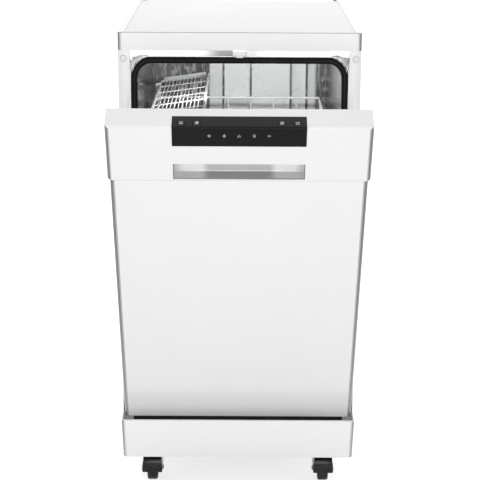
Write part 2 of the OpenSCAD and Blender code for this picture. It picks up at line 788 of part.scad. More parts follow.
board_z = door_top - console_t - 11;
board_t = 1.6;
board_over = 14;
board_front = 7;
board_back = 20;
lamp_board_d = 3.7;
lamp_board_h = 8;

// Circuit board with a switch under each button and a lamp strip behind the lights
module control_board() color("#2f6b45") hung() {
  block([-button_outer_x - board_over, button_y - board_front, board_z],
    [button_outer_x + board_over, button_y + board_back, board_z + board_t]);
  for (x = button_x)
    block([x - 3, button_y - 3, board_z + board_t],
      [x + 3, button_y + 3, button_foot - button_travel - fit_gap]);
  block([-2 * lamp_pitch - lamp_d, door_face_y + console_t + 1.3, board_z - lamp_board_h],
    [2 * lamp_pitch + lamp_d, door_face_y + console_t + 1.3 + lamp_board_d, board_z]);
  both_sides() block([button_outer_x + button_w / 2 + 1.5, button_y - board_front, board_z + board_t],
    [button_outer_x + board_over, button_y + board_back, door_top - console_t]);
}

button_foot = door_top - 6;

module button(i) color("#26282a") hung() intersection() {
  button_wells(0, button_foot, door_top + skin_out);
  block([button_x[i] - button_w, button_y - button_d, button_foot - 1],
    [button_x[i] + button_w, button_y + button_d, door_top + 5]);
}

module button_power() button(0);

module button_program() button(1);

module button_delay() button(2);

module button_start() button(3);

pocket_back_y = door_face_y + console_t + pocket_d;

module handle_pocket() color("#a9acae") hung() difference() {
  block([-pocket_w / 2 - pocket_t, door_face_y + console_t, pocket_z - pocket_t],
    [pocket_w / 2 + pocket_t, pocket_back_y, pocket_z + pocket_h + grip_h + pocket_t]);
  block([-pocket_w / 2, door_face_y, pocket_z],
    [pocket_w / 2, pocket_back_y - pocket_t, pocket_z + pocket_h + grip_h]);
}

outer_top = console_foot - 0.5;
outer_back_y = door_back_y - 6;

module outer_plan(inset) polygon(concat(
  [for (side = [1, -1]) [side * (door_w / 2 - inset), outer_back_y + (inset > 0 ? 1 : 0)]],
  [for (k = [0:5]) let (r = max(door_edge_r - inset, 1))
    [-door_w / 2 + inset + r - r * cos(k * 18), door_face_y + inset + r - r * sin(k * 18)]],
  [for (k = [0:5]) let (r = max(door_edge_r - inset, 1))
    [door_w / 2 - inset - r + r * sin(k * 18), door_face_y + inset + r - r * cos(k * 18)]]
));

module door_outer_panel() color(white) hung() {
  difference() {
    translate([0, 0, door_foot]) linear_extrude(outer_top - door_foot) outer_plan(0);
    translate([0, 0, door_foot - 1]) linear_extrude(outer_top - door_foot + 2) outer_plan(door_sheet);
  }
  block([-inner_foot_w / 2, door_face_y, door_foot],
    [inner_foot_w / 2, outer_back_y, door_foot + door_sheet]);
  both_sides() block([bracket_x, outer_back_y - door_sheet, pivot_z + 20],
    [door_w / 2, outer_back_y, outer_top]);
}

inner_top = door_top - rear_strip_h - fit_gap;
inner_notch_z = lip_z + 2;
inner_foot = door_foot + door_sheet;
field_z0 = lip_z + 40;
field_z1 = tub_top - 14;
inner_side_y = door_back_y - 40;

// A steel pan with side flanges and a raised field, open where the dispenser sits
module door_inner_panel() color(tub_steel) hung() difference() {
  union() {
    block([-inner_w / 2, door_back_y - door_sheet, inner_notch_z], [inner_w / 2, door_back_y, inner_top]);
    block([-inner_foot_w / 2, door_back_y - door_sheet, inner_foot],
      [inner_foot_w / 2, door_back_y, inner_notch_z + 1]);
    block([-inner_foot_w / 2, inner_side_y, inner_foot],
      [inner_foot_w / 2, door_back_y, inner_foot + door_sheet]);
    both_sides() block([inner_w / 2 - door_sheet, inner_side_y, inner_notch_z],
      [inner_w / 2, door_back_y, console_foot - 2]);
    block([-field_w / 2, door_back_y - door_sheet, field_z0], [field_w / 2, field_y, field_z1]);
  }
  block([-field_w / 2 + door_sheet, door_back_y - door_sheet - 1, field_z0 + door_sheet],
    [field_w / 2 - door_sheet, field_y - door_sheet, field_z1 - door_sheet]);
  block([-dispenser_w / 2 - fit_gap, door_back_y - 5, dispenser_z - dispenser_h / 2 - fit_gap],
    [dispenser_w / 2 + fit_gap, field_y + 1, dispenser_z + dispenser_h / 2 + fit_gap]);
}

dispenser_back_y = door_back_y - dispenser_d;

module door_insulation() color("#d7cfae") hung() difference() {
  block([-inner_foot_w / 2 + 2, door_face_y + door_sheet + fit_gap, inner_foot + door_sheet + fit_gap],
    [inner_foot_w / 2 - 2, door_back_y - door_sheet - fit_gap, console_foot - 8]);
  block([-dispenser_w / 2 - 2, dispenser_back_y - 2, dispenser_z - dispenser_h / 2 - 2],
    [dispenser_w / 2 + 2, door_back_y + 10, dispenser_z + dispenser_h / 2 + 2]);
}

// ---------------------------------------------------------------- dispenser

bezel_t = 3;
bezel_w = 5;
cup_w = 74;
cup_h = 70;
cup_x = -28;
cup_depth = 22;
lid_t = 3;
lid_foot = dispenser_z - cup_h / 2 - 6;
lid_pin_r = 2;
lid_ear_r = 3.4;
lid_pin_y = field_y + bezel_t + 3.5;
cap_x = dispenser_w / 2 - 26;
cap_bore_r = 9;

module dispenser_body() color("#e6e7e7") hung() difference() {
  union() {
    block([-dispenser_w / 2, dispenser_back_y, dispenser_z - dispenser_h / 2],
      [dispenser_w / 2, field_y + bezel_t, dispenser_z + dispenser_h / 2]);
    block([-dispenser_w / 2 - bezel_w, field_y, dispenser_z - dispenser_h / 2 - bezel_w],
      [dispenser_w / 2 + bezel_w, field_y + bezel_t, dispenser_z + dispenser_h / 2 + bezel_w]);
    for (x = [cup_x - 24, cup_x + 24]) {
      block([x - 3, field_y + bezel_t - 1, lid_foot - 3], [x + 3, lid_pin_y, lid_foot + 3]);
      rod_x(x - 3, x + 3, lid_pin_y, lid_foot, lid_ear_r);
    }
  }
  block([cup_x - cup_w / 2, field_y - cup_depth, dispenser_z - cup_h / 2],
    [cup_x + cup_w / 2, field_y + bezel_t + 1, dispenser_z + cup_h / 2]);
  rod_y(cap_x, field_y - 14, field_y + bezel_t + 1, dispenser_z, cap_bore_r + run_gap);
  rod_x(cup_x - 30, cup_x + 30, lid_pin_y, lid_foot, lid_pin_r + run_gap);
}

module dispenser_lid() color("#d3d5d6") hung() {
  block([cup_x - cup_w / 2 - 5, field_y + bezel_t + fit_gap, lid_foot + 4],
    [cup_x + cup_w / 2 + 5, field_y + bezel_t + fit_gap + lid_t, dispenser_z + cup_h / 2 + 5]);
  block([cup_x - 20, field_y + bezel_t + fit_gap, lid_foot], [cup_x + 20, lid_pin_y + 2, lid_foot + 5]);
  rod_x(cup_x - 20, cup_x + 20, lid_pin_y, lid_foot, 3);
  rod_x(cup_x - 28, cup_x + 28, lid_pin_y, lid_foot, lid_pin_r);
}

module rinse_cap() color("#3b6ea8") hung() {
  rod_y(cap_x, field_y - 12, field_y + bezel_t + 1, dispenser_z, cap_bore_r);
  rod_y(cap_x, field_y + bezel_t + fit_gap, field_y + bezel_t + 5, dispenser_z, rinse_cap_d / 2);
  block([cap_x - 2.5, field_y + bezel_t + 4, dispenser_z - rinse_cap_d / 2 + 3],
    [cap_x + 2.5, field_y + bezel_t + 9, dispenser_z + rinse_cap_d / 2 - 3]);
}

latch_w = 44;
latch_d = 18;

// Latch case behind the slot in the console's rear edge
module door_latch() color("#4a4d50") hung() difference() {
  block([-latch_w / 2, door_back_y - latch_d, door_top - 34],
    [latch_w / 2, door_back_y - console_t - fit_gap, door_top - console_t]);
  block([-strike_w / 4 - 3, door_back_y - 20, slot_z],
    [strike_w / 4 + 3, door_back_y + 1, tongue_z + tongue_t + 0.6]);
}

// ---------------------------------------------------------------- racks

// A wire loop at one height
module wire_loop(half, y0, y1, z, d) {
  block([-half - d / 2, y0 - d / 2, z - d / 2], [half + d / 2, y0 + d / 2, z + d / 2]);
  block([-half - d / 2, y1 - d / 2, z - d / 2], [half + d / 2, y1 + d / 2, z + d / 2]);
  for (side = [-1, 1]) block([side * half - d / 2, y0, z - d / 2], [side * half + d / 2, y1, z + d / 2]);
}

// A wire bent to a U, from one side's rim under the floor to the other side's rim
module cross_wire(half, y, z0, z1, d) {
  block([-half - d / 2, y - d / 2, z0 - d / 2], [half + d / 2, y + d / 2, z0 + d / 2]);
  for (side = [-1, 1]) block([side * half - d / 2, y - d / 2, z0], [side * half + d / 2, y + d / 2, z1]);
}

// A wire bent to a U, from the front rim under the floor to the rear rim
module long_wire(x, y0, y1, z0, z1, d) {
  block([x - d / 2, y0 - d / 2, z0 - d / 2], [x + d / 2, y1 + d / 2, z0 + d / 2]);
  for (y = [y0, y1]) block([x - d / 2, y - d / 2, z0], [x + d / 2, y + d / 2, z1]);
}

// A wire basket: rim, middle wire, and bent wires both ways
module basket(half, y0, y1, z0, z1, crosses, longs) {
  wire_loop(half, y0, y1, z1, rim_wire_d);
  wire_loop(half, y0, y1, (z0 + z1) / 2, wire_d - 1);
  wire_loop(half, y0, y1, z0, wire_d);
  for (k = [1:crosses]) cross_wire(half, y0 + k * (y1 - y0) / (crosses + 1), z0, z1, wire_d - 1);
  for (k = [1:longs]) long_wire(long_x(half, longs, k), y0, y1, z0, z1, wire_d - 1);
}

tine_d = 3;
rim_wire_d = wire_d + 1;

// Place of one of the wires that run front to back
function long_x(half, longs, k) = -half + k * 2 * half / (longs + 1);

// A row of upright tines along Y
module tines(x, y0, y1, z0, h, count) for (k = [0:count - 1])
  block([x - tine_d / 2, y0 + k * (y1 - y0) / (count - 1) - tine_d / 2, z0],
    [x + tine_d / 2, y0 + k * (y1 - y0) / (count - 1) + tine_d / 2, z0 + h]);

manifold_h = 16;
arm_mid_upper = [0, (upper_front + upper_back) / 2, upper_floor - manifold_h - arm_t - 0.6];
shelf_post_y = [upper_front + 60, upper_back - 60];
shelf_post_l = 6;
shelf_pin_r = 2.5;

// Spigot that hangs from the manifold, with a cap under the spray arm
module hanging_spigot(arm_z, top) {
  translate([0, 0, arm_z - arm_play]) cylinder(r = spigot_d / 2, h = top - arm_z + arm_play);
  translate([0, 0, arm_z - arm_play - 1.3]) cylinder(r = spigot_d / 2 + 3, h = 3);
}

// The upper rack, with two rows of tines
module upper_rack() color("#e1e2e2") translate([0, -upper_out, 0]) {
  basket(upper_half - wire_d / 2, upper_front + 3, upper_back - 3, upper_floor, upper_rim, 11, 6);
  for (k = [5, 6])
    tines(long_x(upper_half - wire_d / 2, 6, k), upper_front + 60, upper_back - 60, upper_floor, 62, 10);
}

manifold_w = 20;
manifold_z = upper_floor - (wire_d - 1) / 2;
post_over = 2.5;
post_in = 7;

// A post that straddles the rack's rim wire, with a bore for the cup shelf's pin
module shelf_post(y) difference() {
  block([-upper_half - post_over, y - shelf_post_l / 2, upper_rim - rim_wire_d / 2],
    [-upper_half + post_in, y + shelf_post_l / 2, shelf_z + 5]);
  block([-upper_half + wire_d / 2 - rim_wire_d / 2, y - shelf_post_l, upper_rim - rim_wire_d],
    [-upper_half + wire_d / 2 + rim_wire_d / 2, y + shelf_post_l, upper_rim + rim_wire_d / 2]);
  rod_y(shelf_x, y - shelf_post_l, y + shelf_post_l, shelf_z, shelf_pin_r + run_gap);
}

// The spray manifold under the upper rack's floor, and the posts of the cup shelf on its rim
module rack_fittings() color("#dcdddd") translate([0, -upper_out, 0]) {
  block([-manifold_w / 2, arm_mid_upper.y, upper_floor - manifold_h],
    [manifold_w / 2, upper_back - 12, manifold_z]);
  translate([0, arm_mid_upper.y, upper_floor - manifold_h])
    cylinder(r = 18, h = manifold_z - upper_floor + manifold_h);
  translate([0, arm_mid_upper.y, 0]) hanging_spigot(arm_mid_upper.z, upper_floor - manifold_h + 1);
  for (y = shelf_post_y) shelf_post(y);
}

rail_x = upper_half + 4;
rail_t = 5;

module rack_rails() color("#b8bbbd") translate([0, -upper_out, 0]) both_sides() {
  block([rail_x, upper_front + 6, rail_z], [rail_x + rail_t, upper_back - 6, rail_z + rail_h]);
  for (y = [upper_front + 40, upper_back - 60])
    block([upper_half - 0.2, y, rail_z + 2], [rail_x, y + 20, upper_rim - rim_wire_d / 2 - fit_gap]);
}

roller_first = 40;
roller_pitch = 48;
roller_y = [front_y + roller_first, front_y + roller_first + roller_pitch];
roller_plate_t = 1.5;
roller_plate_over = 14;

// Rollers above and below each rail, on plates fixed to the tub's walls
module rail_rollers() color("#dcdddd") both_sides() {
  block([tub_half - roller_plate_t, roller_y[0] - roller_plate_over, rail_z - roller_d - 4],
    [tub_half, roller_y[1] + roller_plate_over, rail_z + rail_h + roller_d + 4]);
  for (y = roller_y) for (z = [rail_z - roller_d / 2 - fit_gap, rail_z + rail_h + roller_d / 2 + fit_gap])
    rod_x(rail_x, tub_half - roller_plate_t, y, z, roller_d / 2);
}

shelf_t = 3;
shelf_ribs = 11;
shelf_front_gap = 40;
shelf_rear_gap = 7;
shelf_y = upper_front + shelf_front_gap;
shelf_l = upper_rack_l - shelf_front_gap - shelf_rear_gap;

// The cup shelf: a ribbed frame that turns on the pin along its outer edge
module cup_shelf() color("#c9cbcc")
translate([shelf_x, shelf_y - upper_out, shelf_z]) rotate([0, -cup_shelf_tilt, 0]) {
  rod_y(0, 0, shelf_l, 0, shelf_pin_r);
  difference() {
    union() {
      difference() {
        block([0, 0, -shelf_t / 2], [cup_shelf_w, shelf_l, shelf_t / 2]);
        block([8, 8, -shelf_t], [cup_shelf_w - 8, shelf_l - 8, shelf_t]);
      }
      for (k = [1:shelf_ribs]) let (x = 7 + k * (cup_shelf_w - 14) / (shelf_ribs + 1))
        block([x - 1, 4, -shelf_t / 2], [x + 1, shelf_l - 4, shelf_t / 2]);
      for (k = [1:3])
        block([4, k * shelf_l / 4 - 2, -shelf_t / 2], [cup_shelf_w - 4, k * shelf_l / 4 + 2, shelf_t / 2]);
      block([cup_shelf_w - 3, 0, -shelf_t / 2], [cup_shelf_w, shelf_l, 8]);
    }
    for (y = shelf_post_y)
      block([-1, y - shelf_y - shelf_post_l, -shelf_t], [8, y - shelf_y + shelf_post_l, shelf_t]);
  }
}

// A spray arm: two tapered wings on a hub that turns on a spigot
module spray_arm(mid, reach) translate(mid) difference() {
  union() {
    for (side = [0, 180]) rotate([0, 0, side]) linear_extrude(arm_t) polygon([
      [-1, -arm_w / 2], [30, -arm_w / 2], [reach - 8, -arm_w / 3], [reach, -arm_w / 4],
      [reach, arm_w / 4], [reach - 8, arm_w / 3], [30, arm_w / 2], [-1, arm_w / 2]]);
    cylinder(r = arm_w / 2 + 2, h = arm_t);
  }
  translate([0, 0, -1]) cylinder(r = spigot_d / 2 + run_gap, h = arm_t + 2);
  for (side = [-1, 1]) for (k = [1:4]) translate([side * (30 + k * (reach - 40) / 5), side * 5, arm_t - 2])
    cylinder(r = 1.8, h = 3);
}

lower_arm_z = tub_floor_z + 22;

module upper_spray_arm() color("#8e9296") translate([0, -upper_out, 0]) spray_arm(arm_mid_upper, upper_arm_r);

module lower_spray_arm() color("#8e9296") spray_arm(sump_mid + [0, 0, lower_arm_z], lower_arm_r);

rack_wheel_y = [lower_front + 50, lower_front + 110, lower_back - 110, lower_back - 50];

module lower_rack() color("#e1e2e2") translate([0, -lower_out, 0]) {
  basket(lower_half - wire_d / 2, lower_front + 3, lower_back - 3, lower_floor, lower_rim, 11, 6);
  for (k = [4, 5, 6])
    tines(long_x(lower_half - wire_d / 2, 6, k), lower_front + 50, lower_back - 40, lower_floor, 90, 11);
  for (side = [-1, 1]) for (y = rack_wheel_y) {
    rod_x(side * (lower_half + 8) - 5, side * (lower_half + 8) + 5, y,
      tub_floor_z + rack_wheel_d / 2 + 0.1, rack_wheel_d / 2);
    block([side * lower_half - 5, y - 4, tub_floor_z + rack_wheel_d / 2 - 4],
      [side * lower_half + 5, y + 4, lower_floor + 6]);
  }
}

cutlery_x = -lower_half + 12;
cutlery_y = lower_front + 30;
cutlery_z = lower_floor + (wire_d - 1) / 2;
cutlery_wall = 2;
cutlery_cells = 4;

cell_pitch = (cutlery_l - cutlery_wall) / cutlery_cells;

module cutlery_basket() color("#b4b7b9") translate([cutlery_x, cutlery_y - lower_out, cutlery_z])
difference() {
  cube([cutlery_w, cutlery_l, cutlery_h]);
  for (k = [0:cutlery_cells - 1])
    translate([cutlery_wall, cutlery_wall + k * cell_pitch, cutlery_wall])
      cube([cutlery_w - 2 * cutlery_wall, cell_pitch - cutlery_wall, cutlery_h]);
}

// ---------------------------------------------------------------- casters

swivel_y = [front_y + caster_inset, rear_y - caster_inset];
housing_r = 15;
housing_z = 66;
fork_top = 62;
cheek_in = wheel_w / 2 + 1.5;
cheek_out = cheek_in + 7;
fork_reach = 60;

module caster_plates() color("#2a2c2e") for (x = [-caster_x, caster_x]) for (y = swivel_y) difference() {
  union() {
    block([x - 26, y - 26, base_z - 3], [x + 26, y + 26, base_z]);
    translate([x, y, housing_z]) cylinder(r = housing_r, h = base_z - housing_z - 2);
  }
  translate([x, y, housing_z - 1]) cylinder(r = swivel_d / 2 + run_gap, h = base_z - housing_z - 2);
}

// The outline of the fork's cheeks, seen from the side
module cheek_side() polygon([
  for (p = [[-14, 0], [-15, 20], [-6, 36], [12, 38], [32, 26], [36, 10], [30, -2], [20, -8], [8, -8]])
    [p.x, wheel_r + p.y]]);

module caster_fork(x, y) color(dark) translate([x, y, 0]) {
  difference() {
    along_x(-cheek_out, cheek_out) intersection() {
      cheek_side();
      translate([-fork_reach, 0]) square([2 * fork_reach, fork_top]);
    }
    block([-cheek_in, -fork_reach, -1], [cheek_in, fork_reach, wheel_d + 3]);
    rod_x(-cheek_out - 1, cheek_out + 1, caster_trail, wheel_r, axle_d / 2 + run_gap);
  }
  translate([0, 0, fork_top - 1]) cylinder(r = swivel_d / 2, h = base_z - fork_top - 4);
  rod_x(-cheek_out - 2, cheek_out + 2, caster_trail, wheel_r, axle_d / 2);
}

// Half of the wheel's section from the hub to the tread; the other half mirrors it
wheel_side = [[axle_d / 2 + run_gap, wheel_w / 2 + 1], [8, wheel_w / 2 + 1], [8, wheel_w / 2 - 1],
  [wheel_r - 8, wheel_w / 2 - 1], [wheel_r - 5, wheel_w / 2], [wheel_r - 2, wheel_w / 2],
  [wheel_r, wheel_w / 2 - 3]];

module caster_wheel(x, y) color(dark) translate([x, y + caster_trail, wheel_r]) rotate([0, 90, 0])
  rotate_extrude() polygon(concat(
    wheel_side, [for (k = [len(wheel_side) - 1:-1:0]) [wheel_side[k].x, -wheel_side[k].y]]));

module caster_fork_fl() caster_fork(-caster_x, swivel_y[0]);

module caster_fork_fr() caster_fork(caster_x, swivel_y[0]);

module caster_fork_rl() caster_fork(-caster_x, swivel_y[1]);

module caster_fork_rr() caster_fork(caster_x, swivel_y[1]);

module caster_wheel_fl() caster_wheel(-caster_x, swivel_y[0]);

module caster_wheel_fr() caster_wheel(caster_x, swivel_y[0]);

module caster_wheel_rl() caster_wheel(-caster_x, swivel_y[1]);

module caster_wheel_rr() caster_wheel(caster_x, swivel_y[1]);

// ---------------------------------------------------------------- all nodes

worktop_frame();
worktop_panel();
side_panel_left();
side_panel_right();
rear_panel();
base_tray();
front_frame();
screw_caps();
tub_wrapper();
tub_back();
tub_floor();
tub_gasket();
latch_strike();
plinth_cover();
sump();
circulation_pump();
drain_pump();
inlet_valve();
drain_outlet();
cord_gland();
feed_pipe();
filter_plate();
hinge_brackets();
door_springs();
caster_plates();
rail_rollers();
door_outer_panel();
door_console();
control_panel();
indicator_lights();
handle_pocket();
door_inner_panel();
door_insulation();
control_board();
dispenser_body();
door_latch();
hinge_arms();
button_power();
button_program();
button_delay();
button_start();
dispenser_lid();
rinse_cap();
upper_rack();
rack_fittings();
rack_rails();
cup_shelf();
upper_spray_arm();
lower_rack();
cutlery_basket();
lower_spray_arm();
filter_cup();
caster_fork_fl();
caster_fork_fr();
caster_fork_rl();
caster_fork_rr();
caster_wheel_fl();
caster_wheel_fr();
caster_wheel_rl();
caster_wheel_rr();
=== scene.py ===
"""Looks of a slim portable dishwasher on casters, with its door ajar.

Metres, in the frame of the construction model: X to the right, the front faces -Y, Z up.
Pieces of the door are modelled as if it were closed, and then hung at the angle of the frame's rest pose.
"""

import json
import logging
import math
from dataclasses import dataclass, field
from enum import Enum
from typing import Any, Sequence

import bpy
from mathutils import Matrix, Vector

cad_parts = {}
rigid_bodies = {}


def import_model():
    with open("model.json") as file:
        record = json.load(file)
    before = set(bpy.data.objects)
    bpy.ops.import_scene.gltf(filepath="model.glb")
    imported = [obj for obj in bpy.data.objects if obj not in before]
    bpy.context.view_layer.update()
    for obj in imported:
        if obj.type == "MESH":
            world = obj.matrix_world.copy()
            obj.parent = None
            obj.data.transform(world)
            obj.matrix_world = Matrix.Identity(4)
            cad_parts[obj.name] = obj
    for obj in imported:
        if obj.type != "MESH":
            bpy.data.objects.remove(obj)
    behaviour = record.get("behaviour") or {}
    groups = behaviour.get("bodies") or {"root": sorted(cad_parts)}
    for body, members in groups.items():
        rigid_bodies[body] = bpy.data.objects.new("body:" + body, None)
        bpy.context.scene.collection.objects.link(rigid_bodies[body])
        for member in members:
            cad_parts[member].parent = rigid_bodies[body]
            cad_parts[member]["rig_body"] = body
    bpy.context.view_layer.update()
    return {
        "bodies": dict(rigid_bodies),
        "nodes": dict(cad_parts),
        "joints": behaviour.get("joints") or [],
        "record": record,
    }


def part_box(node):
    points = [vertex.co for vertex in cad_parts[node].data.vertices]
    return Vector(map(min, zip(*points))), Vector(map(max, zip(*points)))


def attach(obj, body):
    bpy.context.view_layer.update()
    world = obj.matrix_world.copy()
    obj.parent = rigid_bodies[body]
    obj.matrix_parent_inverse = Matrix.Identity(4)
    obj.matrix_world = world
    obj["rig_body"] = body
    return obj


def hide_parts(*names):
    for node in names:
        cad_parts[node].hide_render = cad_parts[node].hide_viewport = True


log = logging.getLogger("dishwasher")

MM = 0.001
Colour = tuple[float, float, float]
Point = tuple[float, float, float]
Flat = tuple[float, float]
# Dark grey of the painted reflection on edges that turn to a side.
PAINTED_REFLECTION_GREY: Colour = (0.17, 0.172, 0.176)


class Body(str, Enum):
    """The bodies of the frame that carry pieces."""

    CABINET = "cabinet"
    DOOR = "door"
    UPPER_BASKET = "upper_basket"
    LOWER_BASKET = "lower_basket"
    SHELF = "shelf"
    UPPER_ARM = "upper_arm"
    LOWER_ARM = "lower_arm"
    FILTER = "filter"
    LID = "detergent_lid"
    CAP = "rinse_aid_cap"
    POWER = "power_key"
    PROGRAM = "program_key"
    DELAY = "delay_key"
    START = "start_key"


class Axis(Enum):
    """A direction of the frame, by its place in a point."""

    X = 0
    Y = 1
    Z = 2

    def vector(self) -> Vector:
        """Returns the unit vector of the axis."""
        return Vector([1.0 if k == self.value else 0.0 for k in range(3)])


# ---------------------------------------------------------------- mesh work


def rest_mode() -> None:
    """Goes to object mode with nothing selected."""
    active = bpy.context.view_layer.objects.active
    if active is not None and active.mode != "OBJECT":
        bpy.ops.object.mode_set(mode="OBJECT")
    bpy.ops.object.select_all(action="DESELECT")


def hold(obj: bpy.types.Object) -> bpy.types.Object:
    """Selects one object alone and makes it active.

    Args:
        obj: The object.

    Returns:
        The same object.
    """
    rest_mode()
    obj.select_set(True)
    bpy.context.view_layer.objects.active = obj
    return obj


def settle(obj: bpy.types.Object) -> bpy.types.Object:
    """Puts the object's place, turn and scale into its mesh."""
    hold(obj)
    bpy.ops.object.transform_apply(location=True, rotation=True, scale=True)
    return obj


def edit(obj: bpy.types.Object, mode: str = "VERT") -> None:
    """Opens an object in edit mode with everything selected."""
    hold(obj)
    bpy.ops.object.mode_set(mode="EDIT")
    bpy.ops.mesh.select_mode(type=mode)
    bpy.ops.mesh.select_all(action="SELECT")


def done(obj: bpy.types.Object, angle: float = 35.0) -> bpy.types.Object:
    """Leaves edit mode and shades the object smooth up to an angle in degrees."""
    hold(obj)
    bpy.ops.object.shade_smooth_by_angle(angle=math.radians(angle))
    return obj


def modify(obj: bpy.types.Object, kind: str, **values: Any) -> bpy.types.Object:
    """Adds a modifier, sets its values and applies it.

    Args:
        obj: The object.
        kind: The modifier's type, such as BEVEL.
        **values: The modifier's settings by name.

    Returns:
        The same object.
    """
    modifier = obj.modifiers.new(kind, kind)
    for name, value in values.items():
        setattr(modifier, name, value)
    hold(obj)
    bpy.ops.object.modifier_apply(modifier=modifier.name)
    return obj


def ease(obj: bpy.types.Object, width: float, segments: int = 2, angle: float = 35.0) -> bpy.types.Object:
    """Rounds every edge that is sharper than an angle in degrees."""
    return modify(obj, "BEVEL", width=width, segments=segments, limit_method="ANGLE",
                  angle_limit=math.radians(angle), miter_outer="MITER_ARC")


def cut(obj: bpy.types.Object, *tools: bpy.types.Object) -> bpy.types.Object:
    """Takes the tools' solids out of an object and deletes the tools."""
    for tool in tools:
        modify(obj, "BOOLEAN", operation="DIFFERENCE", solver="EXACT", object=tool)
        bpy.data.objects.remove(tool)
    return obj


def common(obj: bpy.types.Object, tool: bpy.types.Object) -> bpy.types.Object:
    """Keeps what two solids share, as the first one, and deletes the second."""
    modify(obj, "BOOLEAN", operation="INTERSECT", solver="EXACT", object=tool)
    bpy.data.objects.remove(tool)
    return obj


def join(name: str, parts: Sequence[bpy.types.Object]) -> bpy.types.Object:
    """Makes several objects one, with the first one's place and the new name."""
    rest_mode()
    for part in parts:
        part.select_set(True)
    bpy.context.view_layer.objects.active = parts[0]
    bpy.ops.object.join()
    parts[0].name = name
    return parts[0]


def block(name: str, low: Sequence[float], high: Sequence[float]) -> bpy.types.Object:
    """Returns a box between two opposite corners."""
    low, high = Vector(low), Vector(high)
    rest_mode()
    bpy.ops.mesh.primitive_cube_add(size=1, location=(low + high) / 2)
    obj = bpy.context.object
    obj.name = name
    obj.scale = high - low
    return settle(obj)


def rod(name: str, start: Sequence[float], end: Sequence[float], radius: float,
        sides: int = 32, end_radius: float | None = None) -> bpy.types.Object:
    """Returns a round rod, or a cone if its end has another radius."""
    start, end = Vector(start), Vector(end)
    rest_mode()
    bpy.ops.mesh.primitive_cone_add(vertices=sides, radius1=radius, depth=(end - start).length,
                                    radius2=radius if end_radius is None else end_radius,
                                    location=(start + end) / 2)
    obj = bpy.context.object
    obj.name = name
    obj.rotation_mode = "QUATERNION"
    obj.rotation_quaternion = (end - start).to_track_quat("Z", "Y")
    return settle(obj)


def sheet_of(name: str, points: Sequence[Sequence[float]]) -> bpy.types.Object:
    """Returns one flat face with these corners."""
    rest_mode()
    bpy.ops.mesh.primitive_circle_add(vertices=len(points), fill_type="NGON")
    obj = settle(bpy.context.object)
    obj.name = name
    for vertex, point in zip(obj.data.vertices, points):
        vertex.co = point
    return obj


def outward(obj: bpy.types.Object) -> bpy.types.Object:
    """Merges the doubles of a mesh and turns its faces outwards."""
    edit(obj)
    bpy.ops.mesh.remove_doubles(threshold=1e-6)
    bpy.ops.mesh.dissolve_degenerate(threshold=1e-7)
    bpy.ops.mesh.select_all(action="SELECT")
    bpy.ops.mesh.normals_make_consistent(inside=False)
    rest_mode()
    return obj


def prism(name: str, outline: Sequence[Flat], axis: Axis, low: float, high: float) -> bpy.types.Object:
    """Draws a flat outline out along an axis.

    Args:
        name: The object's name.
        outline: Corners in the other two coordinates, in their order.
        axis: The axis of the prism.
        low: Where it starts on the axis.
        high: Where it ends.

    Returns:
        The object.
    """
    def placed(a: float, b: float) -> list[float]:
        rest = [a, b]
        rest.insert(axis.value, low)
        return rest

    obj = sheet_of(name, [placed(a, b) for a, b in outline])
    edit(obj, "FACE")
    bpy.ops.mesh.extrude_region_move(TRANSFORM_OT_translate={"value": axis.vector() * (high - low)})
    return outward(obj)


def lathe(name: str, section: Sequence[Flat], centre: Sequence[float], axis: Axis,
          steps: int = 48) -> bpy.types.Object:
    """Spins a closed section of (radius, height) points about an axis through a centre."""
    side = Axis.X if axis is not Axis.X else Axis.Y
    points = [Vector(centre) + side.vector() * r + axis.vector() * h for r, h in section]
    obj = sheet_of(name, points)
    edit(obj, "FACE")
    bpy.ops.mesh.delete(type="ONLY_FACE")
    bpy.ops.mesh.select_mode(type="VERT")
    bpy.ops.mesh.select_all(action="SELECT")
    bpy.ops.mesh.spin(steps=steps, angle=math.tau, center=centre, axis=axis.vector())
    return outward(obj)


def bent(points: Sequence[Sequence[float]], bend: float, closed: bool = False, steps: int = 4) -> list[Vector]:
    """Rounds the corners of a path.

    Args:
        points: The path's corners.
        bend: The radius of the bends.
        closed: Whether the path runs back to its start.
        steps: How many pieces a bend has.

    Returns:
        The points of the rounded path.
    """
    path = [Vector(p) for p in points]
    count = len(path)
    made: list[Vector] = []
    for k, corner in enumerate(path):
        if not closed and k in (0, count - 1):
            made.append(corner)
            continue
        back = (path[(k - 1) % count] - corner)
        ahead = (path[(k + 1) % count] - corner)
        half = back.angle(ahead) / 2
        reach = min(bend / max(math.tan(half), 1e-3), back.length * 0.49, ahead.length * 0.49)
        start, end = corner + back.normalized() * reach, corner + ahead.normalized() * reach
        for step in range(steps + 1):
            t = step / steps
            made.append(start * (1 - t) ** 2 + corner * 2 * t * (1 - t) + end * t ** 2)
    return made


def wires(name: str, runs: Sequence[tuple[Sequence[Sequence[float]], bool]], radius: float,
          sides: int = 2) -> bpy.types.Object:
    """Makes round wires along several paths, as one mesh.

    Args:
        name: The object's name.
        runs: Paths, each with whether it is closed.
        radius: The wire's radius.
        sides: The curve's bevel resolution: 2 gives 8 sides.

    Returns:
        The object.
    """
    rest_mode()
    bpy.ops.curve.primitive_bezier_curve_add()
    obj = settle(bpy.context.object)
    obj.name = name
    curve = obj.data
    curve.splines.clear()
    for points, closed in runs:
        spline = curve.splines.new("POLY")
        spline.points.add(len(points) - 1)
        for place, point in zip(spline.points, points):
            place.co = (*point, 1.0)
        spline.use_cyclic_u = closed
    curve.dimensions = "3D"
    curve.bevel_depth = radius
    curve.bevel_resolution = sides
    curve.use_fill_caps = True
    hold(obj)
    bpy.ops.object.convert(target="MESH")
    return done(bpy.context.object, 50)


